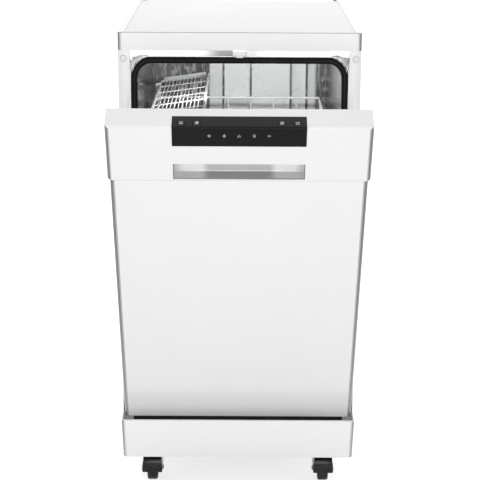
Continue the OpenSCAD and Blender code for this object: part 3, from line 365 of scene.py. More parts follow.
def round_outline(x0: float, x1: float, y0: float, y1: float, radius: float, steps: int = 6) -> list[Flat]:
    """Returns the corners of a rectangle with round corners, in order."""
    centres = [(x1 - radius, y1 - radius, 0), (x0 + radius, y1 - radius, 90),
               (x0 + radius, y0 + radius, 180), (x1 - radius, y0 + radius, 270)]
    return [(cx + radius * math.cos(math.radians(a + 90 * k / steps)),
             cy + radius * math.sin(math.radians(a + 90 * k / steps)))
            for cx, cy, a in centres for k in range(steps + 1)]


# ---------------------------------------------------------------- finishes


class Graph:
    """A node tree that is filled by name."""

    def __init__(self, tree: bpy.types.NodeTree) -> None:
        """Keeps the tree and empties it."""
        self.tree = tree
        tree.nodes.clear()

    def add(self, kind: str, inputs: dict[Any, Any] | None = None, **settings: Any) -> bpy.types.Node:
        """Adds a node.

        Args:
            kind: The node's type.
            inputs: Values or source sockets by the input's name or number.
            **settings: The node's own settings.

        Returns:
            The node.
        """
        node = self.tree.nodes.new(kind)
        for name, value in settings.items():
            setattr(node, name, value)
        for name, value in (inputs or {}).items():
            socket = node.inputs[name]
            if isinstance(value, bpy.types.NodeSocket):
                self.tree.links.new(value, socket)
            else:
                socket.default_value = value
        return node

    def math(self, operation: str, a: Any, b: Any = 0.0, clamp: bool = False) -> bpy.types.NodeSocket:
        """Adds a Math node and returns its result."""
        return self.add("ShaderNodeMath", {0: a, 1: b}, operation=operation, use_clamp=clamp).outputs[0]

    def span(self, value: Any, low: float, high: float, to_low: Any, to_high: Any,
             smooth: bool = False) -> bpy.types.NodeSocket:
        """Adds a Map Range node and returns its result."""
        node = self.add("ShaderNodeMapRange", {"Value": value, "From Min": low, "From Max": high,
                                               "To Min": to_low, "To Max": to_high}, clamp=True)
        node.interpolation_type = "SMOOTHSTEP" if smooth else "LINEAR"
        return node.outputs["Result"]

    def blend(self, share: Any, a: Any, b: Any) -> bpy.types.NodeSocket:
        """Adds a colour Mix node and returns its result."""
        node = self.add("ShaderNodeMix", {"Factor": share}, data_type="RGBA")
        for socket, value in ((node.inputs[6], a), (node.inputs[7], b)):
            if isinstance(value, bpy.types.NodeSocket):
                self.tree.links.new(value, socket)
            else:
                socket.default_value = (*value, 1.0) if len(value) == 3 else value
        return node.outputs[2]


def new_group(name: str, inputs: dict[str, Any], outputs: Sequence[str]) -> tuple[Graph, Any, Any]:
    """Starts a shader node group.

    Args:
        name: The group's name.
        inputs: Default values by input name: a number, or three numbers for a vector.
        outputs: Names of the values that it puts out.

    Returns:
        The group's graph, its input node and its output node.
    """
    tree = bpy.data.node_groups.new(name, "ShaderNodeTree")
    for label, value in inputs.items():
        kind = "NodeSocketVector" if isinstance(value, tuple) else "NodeSocketFloat"
        tree.interface.new_socket(label, in_out="INPUT", socket_type=kind).default_value = value
    for label in outputs:
        tree.interface.new_socket(label, in_out="OUTPUT", socket_type="NodeSocketFloat")
    graph = Graph(tree)
    return graph, graph.add("NodeGroupInput"), graph.add("NodeGroupOutput")


class Effects:
    """The effects that several finishes share, each a node group that is built once."""

    def __init__(self) -> None:
        """Builds the groups."""
        self.mottle = self._mottle()
        self.relief = self._relief()
        self.edge = self._edge()
        self.dust = self._dust()
        self.turn = self._painted_reflection()

    @staticmethod
    def _mottle() -> bpy.types.NodeTree:
        """Returns a soft cloudy value between two limits."""
        graph, source, result = new_group("Mottle", {"Scale": 6.0, "Low": 0.0, "High": 1.0}, ["Value"])
        place = graph.add("ShaderNodeTexCoord").outputs["Object"]
        noise = graph.add("ShaderNodeTexNoise", {"Vector": place, "Scale": source.outputs["Scale"],
                                                 "Detail": 3.0, "Roughness": 0.55})
        value = graph.span(noise.outputs["Fac"], 0.3, 0.7, source.outputs["Low"], source.outputs["High"])
        graph.tree.links.new(value, result.inputs["Value"])
        return graph.tree

    @staticmethod
    def _relief() -> bpy.types.NodeTree:
        """Returns the height of a fine grain that can be stretched along an axis."""
        graph, source, result = new_group("Relief", {"Scale": 900.0, "Stretch": (1.0, 1.0, 1.0)}, ["Height"])
        place = graph.add("ShaderNodeTexCoord").outputs["Object"]
        scaled = graph.add("ShaderNodeVectorMath", {0: place, 1: source.outputs["Stretch"]},
                           operation="MULTIPLY").outputs[0]
        noise = graph.add("ShaderNodeTexNoise", {"Vector": scaled, "Scale": source.outputs["Scale"],
                                                 "Detail": 2.0, "Roughness": 0.6})
        graph.tree.links.new(noise.outputs["Fac"], result.inputs["Height"])
        return graph.tree

    @staticmethod
    def _edge() -> bpy.types.NodeTree:
        """Returns a mask of the edges where handling has rubbed the surface."""
        graph, source, result = new_group("Edge rub", {"Radius": 0.0012, "Amount": 1.0}, ["Mask"])
        plain = graph.add("ShaderNodeNewGeometry").outputs["Normal"]
        eased = graph.add("ShaderNodeBevel", {"Radius": source.outputs["Radius"]}, samples=4).outputs[0]
        dot = graph.add("ShaderNodeVectorMath", {0: plain, 1: eased}, operation="DOT_PRODUCT").outputs["Value"]
        turned = graph.span(dot, 0.995, 0.85, 0.0, 1.0)
        place = graph.add("ShaderNodeTexCoord").outputs["Object"]
        noise = graph.add("ShaderNodeTexNoise", {"Vector": place, "Scale": 140.0, "Detail": 4.0})
        broken = graph.span(noise.outputs["Fac"], 0.42, 0.62, 0.0, 1.0)
        mask = graph.math("MULTIPLY", graph.math("MULTIPLY", turned, broken), source.outputs["Amount"], True)
        graph.tree.links.new(mask, result.inputs["Mask"])
        return graph.tree

    @staticmethod
    def _dust() -> bpy.types.NodeTree:
        """Returns a mask of dust that lies near the floor and thins out upwards."""
        graph, source, result = new_group("Floor dust", {"Top": 0.12, "Amount": 0.3}, ["Mask"])
        place = graph.add("ShaderNodeTexCoord").outputs["Object"]
        height = graph.add("ShaderNodeSeparateXYZ", {0: place}).outputs["Z"]
        share = graph.math("DIVIDE", height, source.outputs["Top"])
        low = graph.span(share, 0.0, 1.0, 1.0, 0.0, smooth=True)
        noise = graph.add("ShaderNodeTexNoise", {"Vector": place, "Scale": 60.0, "Detail": 5.0})
        patches = graph.span(noise.outputs["Fac"], 0.35, 0.65, 0.2, 1.0)
        mask = graph.math("MULTIPLY", graph.math("MULTIPLY", low, patches), source.outputs["Amount"], True)
        graph.tree.links.new(mask, result.inputs["Mask"])
        return graph.tree

    @staticmethod
    def _painted_reflection() -> bpy.types.NodeTree:
        """Returns a mask of edges that turn away to a side, where a dark grey is painted as the reflection of a dark
        room in gloss paint.
        """
        graph, source, result = new_group("Painted side reflection", {"Start": 0.12, "Full": 0.75, "Amount": 1.0}, ["Mask"])
        normal = graph.add("ShaderNodeNewGeometry").outputs["True Normal"]
        across = graph.math("ABSOLUTE", graph.add("ShaderNodeSeparateXYZ", {0: normal}).outputs["X"])
        rise = graph.span(across, source.outputs["Start"], source.outputs["Full"], 0.0, 1.0)
        flat = graph.span(across, 0.985, 0.9995, 1.0, 0.0)
        mask = graph.math("MULTIPLY", graph.math("MULTIPLY", rise, flat), source.outputs["Amount"], True)
        graph.tree.links.new(mask, result.inputs["Mask"])
        return graph.tree


@dataclass(frozen=True)
class Finish:
    """A surface finish with cloudy colour and gloss, a fine grain, rubbed edges, floor dust and a painted reflection
    on edges that turn to a side.
    """

    name: str
    slot: str
    colour: Colour
    rough: float
    rough_spread: float = 0.05
    shade: float = 0.03
    cloud: float = 7.0
    metal: float = 0.0
    coat: float = 0.0
    coat_rough: float = 0.05
    grain: float = 900.0
    stretch: Point = (1.0, 1.0, 1.0)
    depth: float = 0.00002
    bump: float = 0.25
    edge: float = 0.0
    edge_colour: Colour = (0.8, 0.8, 0.8)
    dust: float = 0.0
    # How strongly, and from which turn on, edges that turn to a side get the painted reflection.
    turned: float = 0.0
    turn_start: float = 0.12
    turn_full: float = 0.75
    shine: float = 0.5

    def build(self, effects: Effects) -> bpy.types.Material:
        """Makes the material.

        Args:
            effects: The shared node groups.

        Returns:
            The material.
        """
        material = bpy.data.materials.new(self.name)
        material.use_nodes = True
        graph = Graph(material.node_tree)
        shader = graph.add("ShaderNodeBsdfPrincipled")
        out = graph.add("ShaderNodeOutputMaterial")
        graph.tree.links.new(shader.outputs[0], out.inputs["Surface"])
        colour = self.tint(graph, effects)
        if self.edge:
            rub = graph.add("ShaderNodeGroup", node_tree=effects.edge)
            rub.inputs["Amount"].default_value = self.edge
            colour = graph.blend(rub.outputs["Mask"], colour, self.edge_colour)
        if self.dust:
            film = graph.add("ShaderNodeGroup", node_tree=effects.dust)
            film.inputs["Amount"].default_value = self.dust
            colour = graph.blend(film.outputs["Mask"], colour, (0.46, 0.44, 0.41))
        # Painted reflection: edges that turn to a side are painted dark grey.
        if self.turned:
            turn = graph.add("ShaderNodeGroup", node_tree=effects.turn)
            turn.inputs["Amount"].default_value = self.turned
            turn.inputs["Start"].default_value = self.turn_start
            turn.inputs["Full"].default_value = self.turn_full
            colour = graph.blend(turn.outputs["Mask"], colour, PAINTED_REFLECTION_GREY)
        gloss = graph.add("ShaderNodeGroup", node_tree=effects.mottle)
        gloss.inputs["Scale"].default_value = self.cloud * 2.3
        gloss.inputs["Low"].default_value = max(self.rough - self.rough_spread, 0.02)
        gloss.inputs["High"].default_value = self.rough + self.rough_spread
        relief = graph.add("ShaderNodeGroup", node_tree=effects.relief)
        relief.inputs["Scale"].default_value = self.grain
        relief.inputs["Stretch"].default_value = self.stretch
        bump = graph.add("ShaderNodeBump", {"Height": relief.outputs["Height"], "Strength": self.bump,
                                            "Distance": self.depth})
        graph.tree.links.new(colour, shader.inputs["Base Color"])
        graph.tree.links.new(gloss.outputs["Value"], shader.inputs["Roughness"])
        graph.tree.links.new(bump.outputs["Normal"], shader.inputs["Normal"])
        shader.inputs["Metallic"].default_value = self.metal
        shader.inputs["Specular IOR Level"].default_value = self.shine
        shader.inputs["Coat Weight"].default_value = self.coat
        shader.inputs["Coat Roughness"].default_value = self.coat_rough
        return material

    def tint(self, graph: Graph, effects: Effects) -> bpy.types.NodeSocket:
        """Returns the cloudy colour."""
        cloud = graph.add("ShaderNodeGroup", node_tree=effects.mottle)
        cloud.inputs["Scale"].default_value = self.cloud
        dark = tuple(c * (1 - self.shade) for c in self.colour)
        return graph.blend(cloud.outputs["Value"], self.colour, dark)


@dataclass(frozen=True)
class ReflectionPaintedSteel(Finish):
    """Polished sheet with painted dark reflections and shade, as stretches across X, and painted light streaks in
    them.

    A band has five numbers: where it starts, is full, is last full and ends, and its grey level.
    """

    bands: tuple[tuple[float, float, float, float, float], ...] = ()
    wave: float = 0.25
    streak: float = 0.0

    def tint(self, graph: Graph, effects: Effects) -> bpy.types.NodeSocket:
        """Returns the sheet's colour, with the painted dark reflections and shade in each band."""
        colour = super().tint(graph, effects)
        place = graph.add("ShaderNodeTexCoord").outputs["Object"]
        x = graph.add("ShaderNodeSeparateXYZ", {0: place}).outputs["X"]
        noise = graph.add("ShaderNodeTexNoise", {"Vector": place, "Scale": 9.0, "Detail": 4.0})
        wave = graph.span(noise.outputs["Fac"], 0.35, 0.65, 1.0 - self.wave, 1.0)
        drawn = graph.add("ShaderNodeVectorMath", {0: place, 1: (1.0, 1.0, 0.22)}, operation="MULTIPLY").outputs[0]
        fine = graph.add("ShaderNodeTexNoise", {"Vector": drawn, "Scale": 120.0, "Detail": 5.0, "Distortion": 1.2})
        light = graph.span(fine.outputs["Fac"], 0.5, 0.66, 0.0, self.streak)
        # Each band paints dark reflection and shade, broken by noise, with painted light streaks in it.
        for start, full, last, end, grey in self.bands:
            rise = graph.span(x, start, full, 0.0, 1.0, smooth=True)
            fall = graph.span(x, last, end, 1.0, 0.0, smooth=True)
            mask = graph.math("MULTIPLY", graph.math("MULTIPLY", rise, fall), wave, True)
            dark = graph.blend(light, (grey, grey, grey), self.colour)
            colour = graph.blend(mask, colour, dark)
        return colour


@dataclass(frozen=True)
class Spangled(Finish):
    """Zinc-coated sheet with the crystal pattern of hot dipping."""

    crystals: float = 90.0

    def tint(self, graph: Graph, effects: Effects) -> bpy.types.NodeSocket:
        """Returns the zinc's colour, which changes from crystal to crystal."""
        base = super().tint(graph, effects)
        place = graph.add("ShaderNodeTexCoord").outputs["Object"]
        cells = graph.add("ShaderNodeTexVoronoi", {"Vector": place, "Scale": self.crystals})
        value = graph.add("ShaderNodeSeparateColor", {0: cells.outputs["Color"]}).outputs[0]
        return graph.blend(graph.span(value, 0.0, 1.0, 0.0, 0.35), base, (0.42, 0.44, 0.46))


WHITE: Colour = (0.93, 0.93, 0.925)


class Finishes:
    """All finishes of the machine, by the names of the makers' coats."""

    def __init__(self) -> None:
        """Builds every material."""
        effects = Effects()
        kinds = [
            # The white finishes with turned set get the painted reflection on edges that turn to a side.
            Finish("white enamel", "white_enamel", (0.98, 0.98, 0.975), 0.2, 0.04, 0.01, coat=0.3, coat_rough=0.08,
                   grain=420.0, depth=0.00003, bump=0.12, dust=0.10, turned=1.0),
            # A darker copy of the white enamel for the door: painted shade.
            Finish("shaded door enamel", "white_enamel", (0.9, 0.9, 0.893), 0.2, 0.04, 0.01, coat=0.3, coat_rough=0.08,
                   grain=420.0, depth=0.00003, bump=0.12, dust=0.10, turned=1.0, turn_start=0.08, turn_full=0.2),
            # A darker copy of the white moulding for the console: painted shade.
            Finish("shaded console moulding", "white_plastic", (0.91, 0.91, 0.903), 0.34, 0.04, 0.01, grain=1500.0,
                   bump=0.12, turned=1.0, turn_start=0.08, turn_full=0.5),
            Finish("white moulding", "white_plastic", WHITE, 0.34, 0.05, 0.02, grain=1500.0, bump=0.12, turned=1.0),
            Finish("worktop moulding", "white_plastic", (0.98, 0.98, 0.975), 0.34, 0.02, 0.006, grain=1500.0,
                   bump=0.12, turned=1.0),
            Finish("scoop moulding", "white_plastic", (0.98, 0.98, 0.975), 0.34, 0.05, 0.01, grain=1500.0, bump=0.1),
            Finish("cap moulding", "pale_plastic", (0.7, 0.7, 0.705), 0.4, 0.06, 0.04, bump=0.15),
            Finish("worktop laminate", "grey_laminate", (0.98, 0.98, 0.975), 0.42, 0.02, 0.006, grain=700.0,
                   bump=0.2),
            Spangled("zinc sheet", "galvanised", (0.62, 0.64, 0.65), 0.42, 0.05, 0.04, metal=0.9, bump=0.15),
            # Its two stretches are painted shade beside the latch's strike.
            ReflectionPaintedSteel("frame steel", "tub_steel", (0.68, 0.685, 0.69), 0.27, 0.08, 0.1, metal=1.0,
                        grain=260.0, stretch=(0.06, 1.0, 3.0), bump=0.35, wave=0.1,
                        bands=((-0.105, -0.028, -0.013, -0.012, 0.12), (0.012, 0.013, 0.02, 0.07, 0.34))),
            # Dark steel of the crescents in the mouth's corners: painted shade of the drawn step.
            Finish("corner shade steel", "tub_steel", (0.3, 0.302, 0.306), 0.3, 0.1, 0.35, cloud=60.0, metal=0.8,
                   grain=300.0, bump=0.3),
            Finish("bright bead", "tub_steel", (0.95, 0.95, 0.95), 0.2, 0.05, 0.03, metal=0.7, bump=0.05),
            # Its two stretches are painted dark reflections on the side walls, with painted light streaks.
            ReflectionPaintedSteel("tub steel", "tub_steel", (0.86, 0.865, 0.865), 0.14, 0.04, 0.08, cloud=14.0, metal=0.9,
                        grain=42.0, stretch=(1.0, 1.0, 0.45), depth=0.0009, bump=0.3, wave=0.2, streak=0.7,
                        bands=((-0.5, -0.4, -0.15, -0.14, 0.16), (0.14, 0.15, 0.4, 0.5, 0.12))),
            # Painted dark reflections at both sides of the back wall, painted light streaks in them, and painted
            # shade along four ribs.
            ReflectionPaintedSteel("tub back steel", "tub_steel", (0.93, 0.955, 0.94), 0.3, 0.06, 0.05, metal=0.1,
                        grain=26.0, stretch=(1.0, 1.0, 0.4), depth=0.0009, bump=0.2, wave=0.2, streak=0.45,
                        bands=((-0.3, -0.25, -0.068, -0.064, 0.1), (0.163, 0.172, 0.3, 0.4, 0.1))
                        + tuple((x - 0.0032, x - 0.0018, x + 0.0012, x + 0.0026, 0.05)
                                for x in (-0.035, 0.025, 0.113, 0.148))),
            Finish("door steel", "tub_steel", (0.9, 0.905, 0.905), 0.2, 0.06, 0.05, metal=1.0,
                   grain=200.0, stretch=(0.05, 1.0, 3.0), bump=0.2),
            Finish("black gloss", "black_gloss", (0.006, 0.006, 0.007), 0.14, 0.05, 0.2, bump=0.05, shine=0.12),
            Finish("black moulding", "black_plastic", (0.012, 0.012, 0.013), 0.3, 0.08, 0.3,
                   bump=0.2, edge=0.25, edge_colour=(0.09, 0.09, 0.095), dust=0.2, shine=0.2),
            Finish("caster gloss", "black_plastic", (0.004, 0.004, 0.006), 0.16, 0.05, 0.3, bump=0.1, dust=0.04,
                   shine=0.25),
            Finish("caster moulding", "black_plastic", (0.006, 0.006, 0.008), 0.42, 0.08, 0.3, bump=0.2, dust=0.1,
                   shine=0.15),
            Finish("grey moulding", "grey_plastic", (0.36, 0.37, 0.38), 0.42, 0.08, 0.08, bump=0.3, edge=0.2),
            Finish("pale moulding", "pale_plastic", (0.72, 0.73, 0.735), 0.36, 0.06, 0.05, bump=0.2),
            Finish("shelf moulding", "pale_plastic", (0.46, 0.465, 0.47), 0.3, 0.06, 0.05, bump=0.2),
            Finish("tray moulding", "base_plastic", (0.05, 0.052, 0.056), 0.5, 0.1, 0.2, bump=0.4,
                   edge=0.3, edge_colour=(0.2, 0.2, 0.21), dust=0.3, shine=0.2),
            # Dark grey of wires that are painted shadow lines.
            Finish("painted shadow line", "base_plastic", (0.22, 0.22, 0.225), 0.5, 0.1, 0.2, bump=0.2, shine=0.2),
            # Its stretch is a painted darker reflection across the middle of the grip.
            ReflectionPaintedSteel("silver grip", "handle_silver", (0.7, 0.705, 0.71), 0.32, 0.04, 0.05, metal=0.4,
                        grain=500.0, stretch=(0.1, 1.0, 1.0), bump=0.1, wave=0.1,
                        bands=((-0.066, -0.05, 0.05, 0.066, 0.4),)),
            Finish("door rubber", "rubber", (0.004, 0.004, 0.004), 0.42, 0.08, 0.25, grain=1400.0, bump=0.3,
                   shine=0.1),
            # Lighter rubber of the seal's outer lip: a painted highlight.
            Finish("seal highlight rubber", "rubber", (0.05, 0.05, 0.05), 0.4, 0.08, 0.2, grain=1400.0, bump=0.3, shine=0.2),
            Finish("coated wire", "rack_wire", (0.74, 0.75, 0.755), 0.28, 0.06, 0.05, coat=0.25, bump=0.15),
            Finish("insulating felt", "felt", (0.55, 0.5, 0.32), 0.95, 0.03, 0.3, cloud=40.0, grain=350.0,
                   stretch=(1.0, 1.0, 0.2), depth=0.0008, bump=0.9),
            Finish("circuit lacquer", "circuit_green", (0.02, 0.12, 0.05), 0.3, 0.1, 0.3, cloud=60.0),
            Finish("smoked lens", "lamp_lens", (0.03, 0.032, 0.034), 0.12, 0.04, 0.1, bump=0.05),
            Finish("blue moulding", "rinse_blue", (0.03, 0.13, 0.42), 0.35, 0.06, 0.1, bump=0.2),
            Finish("spring steel", "spring_steel", (0.42, 0.43, 0.44), 0.3, 0.1, 0.2, metal=1.0, bump=0.2),
            Finish("mark paint", "white_plastic", (0.85, 0.86, 0.87), 0.5, 0.05, 0.1, bump=0.1),
        ]
        self.kinds = {kind.name: kind for kind in kinds}
        self.made = {kind.name: kind.build(effects) for kind in kinds}

    def paint(self, obj: bpy.types.Object, name: str) -> bpy.types.Object:
        """Gives an object one finish all over."""
        obj.data.materials.clear()
        obj.data.materials.append(self.made[name])
        return obj


# ---------------------------------------------------------------- the machine


@dataclass
class Workshop:
    """The loaded frame, the finishes and the angle that the door hangs at."""

    frame: dict[str, Any]
    finishes: Finishes = field(default_factory=Finishes)
    count: int = 0

    def __post_init__(self) -> None:
        """Works out the turn of the hung door from the frame's hinge."""
        hinge = next(j for j in self.frame["joints"] if j["name"] == "door_hinge")
        pivot = Matrix.Translation(Vector(hinge["pos_m"]))
        ajar = math.radians(-hinge["range_deg"][0])
        self.hang = pivot @ Matrix.Rotation(ajar, 4, "X") @ pivot.inverted()

    def closed_box(self, node: str) -> tuple[Vector, Vector]:
        """Returns the lowest and highest corner of a door node as if the door were closed."""
        back = self.hang.inverted()
        points = [back @ v.co for v in self.frame["nodes"][node].data.vertices]
        low = Vector([min(p[k] for p in points) for k in range(3)])
        return low, Vector([max(p[k] for p in points) for k in range(3)])

    def place(self, obj: bpy.types.Object, finish: str, body: Body | str, *nodes: str,
              hung: bool = False) -> bpy.types.Object:
        """Paints a piece, hangs it on the door if asked, and lets it ride on a body.

        Args:
            obj: The piece.
            finish: The name of its finish.
            body: The body that it moves with.
            *nodes: The nodes that it stands for.
            hung: Whether it was modelled for the closed door.

        Returns:
            The piece.
        """
        self.finishes.paint(obj, finish)
        if hung:
            obj.data.transform(self.hang)
        settle(obj)
        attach(obj, body.value if isinstance(body, Body) else body)
        if nodes:
            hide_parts(*nodes)
        self.count += 1
        log.info("%s: %d faces, %s", obj.name, len(obj.data.polygons), finish)
        return obj

    def dress(self, node: str, finish: str) -> None:
        """Gives a node of the frame a finish and leaves its shape as it is."""
        self.finishes.paint(self.frame["nodes"][node], finish)
        log.info("%s: dressed in %s", node, finish)

    def corners(self, node: str, radius: float, lean: float = 0.0, hung: bool = False) -> bpy.types.Object:
        """Returns a tall solid about a node with round upright edges, which the node's own edges are cut to.

        Args:
            node: The node.
            radius: The radius of the edges.
            lean: How far the front leans forward for each metre of height.
            hung: Whether the node hangs on the door.

        Returns:
            The solid.
        """
        low, high = self.closed_box(node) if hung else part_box(node)
        spare, over = 50 * MM, 0.05 * MM
        outline = round_outline(low.x - over, high.x + over, low.y - over, high.y + spare, radius, 10)
        tool = prism("trim", outline, Axis.Z, low.z - spare, high.z + spare)
        for vertex in tool.data.vertices:
            vertex.co.y -= lean * (vertex.co.z - high.z)
        if hung:
            tool.data.transform(self.hang)
        return tool

    def eased(self, node: str, finish: str, width: float, segments: int = 2,
              pierced: bool = False, trim: bpy.types.Object | None = None) -> bpy.types.Object:
        """Stands a copy of a node with rounded edges in for it.

        Args:
            node: The node.
            finish: The name of the finish.
            width: The width of the rounding.
            segments: How many faces the rounding has.
            pierced: Whether it has openings, so that its flat faces stay in triangles.
            trim: A solid that its shape is cut to first.

        Returns:
            The new piece.
        """
        source = self.frame["nodes"][node]
        piece = bpy.data.objects.new(f"{node}_shell", source.data.copy())
        bpy.context.scene.collection.objects.link(piece)
        edit(piece)
        bpy.ops.mesh.customdata_custom_splitnormals_clear()
        bpy.ops.mesh.remove_doubles(threshold=0.00001)
        if not pierced:
            bpy.ops.mesh.dissolve_limited(angle_limit=math.radians(0.5))
        rest_mode()
        if trim is not None:
            common(piece, trim)
        ease(piece, width, segments)
        done(piece)
        if pierced:
            modify(piece, "WEIGHTED_NORMAL", keep_sharp=True)
        body = source["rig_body"]
        return self.place(piece, finish, body, node)


@dataclass(frozen=True)
class Softbox:
    """A soft lamp: where it hangs, what it is aimed at, how wide and high it is, and its power in watts."""

    name: str
    place: Point
    aim: Point
    width: float
    height: float
    watts: float
    mirrored: bool = True

    def hang(self) -> None:
        """Hangs the lamp."""
        lamp = bpy.data.lights.new(self.name, "AREA")
        lamp.shape = "RECTANGLE"
        lamp.size, lamp.size_y = self.width, self.height
        lamp.energy = self.watts
        obj = bpy.data.objects.new(self.name, lamp)
        obj.location = self.place
        obj.rotation_mode = "QUATERNION"
        obj.rotation_quaternion = (Vector(self.place) - Vector(self.aim)).to_track_quat("Z", "Y")
        obj.visible_glossy = self.mirrored
        bpy.context.scene.collection.objects.link(obj)


@dataclass
class Studio:
    """Camera, floor, soft lamps and background."""

    focal_px: float = 1532.3
    frame_px: float = 480.0
    sensor_mm: float = 36.0
    middle_px: float = 238.76
    camera_y: float = -3.1107
    camera_z: float = 1.2696
    down_deg: float = 14.857
    roll_deg: float = 0.278
    sky: float = 0.66
    floor_glow: float = 0.7
    lamps: tuple[Softbox, ...] = (
        Softbox("front_softbox", (0.0, -3.6, 1.15), (0, -0.2, 0.5), 1.6, 1.6, 13.0),
        Softbox("low_softbox", (0.0, -2.6, 0.35), (0, -0.3, 0.2), 1.6, 0.5, 7.5),
        Softbox("top_softbox", (-0.2, -0.3, 2.9), (0, -0.2, 0.5), 2.0, 2.0, 7.0),
        Softbox("rear_softbox", (0.6, 3.0, 2.2), (0, -0.2, 0.5), 2.6, 2.6, 10.0),
        Softbox("tub_strip", (0.02, -0.24, 0.845), (0.02, 0.26, 0.74), 0.3, 0.03, 1.6, mirrored=False),
    )

    def build(self) -> None:
        """Builds the studio."""
        bpy.context.scene.view_settings.view_transform = "Standard"
        self.camera()
        self.floor()
        for lamp in self.lamps:
            lamp.hang()
        self.background()

    def camera(self) -> None:
        """Sets the camera at the photograph's viewing angle."""
        data = bpy.data.cameras.new("camera")
        data.sensor_width = self.sensor_mm
        data.lens = self.focal_px / self.frame_px * self.sensor_mm
        data.shift_x = 0.5 - self.middle_px / self.frame_px
        camera = bpy.data.objects.new("camera", data)
        bpy.context.scene.collection.objects.link(camera)
        camera.matrix_world = (Matrix.Translation((0.0, self.camera_y, self.camera_z))
                               @ Matrix.Rotation(math.radians(90 - self.down_deg), 4, "X")
                               @ Matrix.Rotation(math.radians(self.roll_deg), 4, "Z"))
        bpy.context.scene.camera = camera

    def floor(self) -> None:
        """Lays the pale floor."""
        rest_mode()
        bpy.ops.mesh.primitive_plane_add(size=30)
        floor = bpy.context.object
        floor.name = "floor"
        material = bpy.data.materials.new("studio floor")
        material.use_nodes = True
        graph = Graph(material.node_tree)
        glow = graph.math("MULTIPLY", self.seen(graph), self.floor_glow)
        shader = graph.add("ShaderNodeBsdfPrincipled", {"Base Color": (0.86, 0.86, 0.86, 1.0), "Roughness": 0.9,
                                                        "Emission Color": (1.0, 1.0, 1.0, 1.0),
                                                        "Specular IOR Level": 0.0, "Emission Strength": glow})
        out = graph.add("ShaderNodeOutputMaterial")
        graph.tree.links.new(shader.outputs[0], out.inputs["Surface"])
        floor.data.materials.append(material)

    @staticmethod
    def seen(graph: Graph) -> bpy.types.NodeSocket:
        """Returns 1 where the background is seen, mirrored or looked through to."""
        path = graph.add("ShaderNodeLightPath").outputs
        both = graph.math("ADD", path["Is Camera Ray"], path["Is Transmission Ray"], True)
        return graph.math("ADD", both, path["Is Glossy Ray"], True)

    def background(self) -> None:
        """Makes the world white where it is seen, and a plain level of light elsewhere."""
        world = bpy.data.worlds.new("studio")
        bpy.context.scene.world = world
        world.use_nodes = True
        graph = Graph(world.node_tree)
        strength = graph.span(self.seen(graph), 0.0, 1.0, self.sky, 1.0)
        sky = graph.add("ShaderNodeBackground", {"Color": (1.0, 1.0, 1.0, 1.0), "Strength": strength})
        out = graph.add("ShaderNodeOutputWorld")
        graph.tree.links.new(sky.outputs[0], out.inputs["Surface"])


def arch_path(half: float, foot: float, top: float, radius: float, y: float, steps: int = 10) -> list[Point]:
    """Returns the run of an arch with two round upper corners, from its left foot to its right foot."""
    points: list[Point] = [(-half, y, foot)]
    for k in range(steps + 1):
        a = math.radians(180 - 90 * k / steps)
        points.append((-half + radius + radius * math.cos(a), y, top - radius + radius * math.sin(a)))
    for k in range(steps + 1):
        a = math.radians(90 - 90 * k / steps)
        points.append((half - radius + radius * math.cos(a), y, top - radius + radius * math.sin(a)))
    points.append((half, y, foot))
    return points


def helix(centre: Sequence[float], axis: Axis, radius: float, pitch: float, turns: int,
          steps: int = 20) -> list[Point]:
    """Returns the points of a coil about an axis, from a centre on."""
    side, up = (Axis.Y, Axis.Z) if axis is Axis.X else (Axis.X, Axis.Z) if axis is Axis.Y else (Axis.X, Axis.Y)
    path = []
    for k in range(turns * steps + 1):
        a = math.tau * k / steps
        point = (Vector(centre) + axis.vector() * pitch * k / steps
                 + side.vector() * radius * math.cos(a) + up.vector() * radius * math.sin(a))
        path.append(tuple(point))
    return path


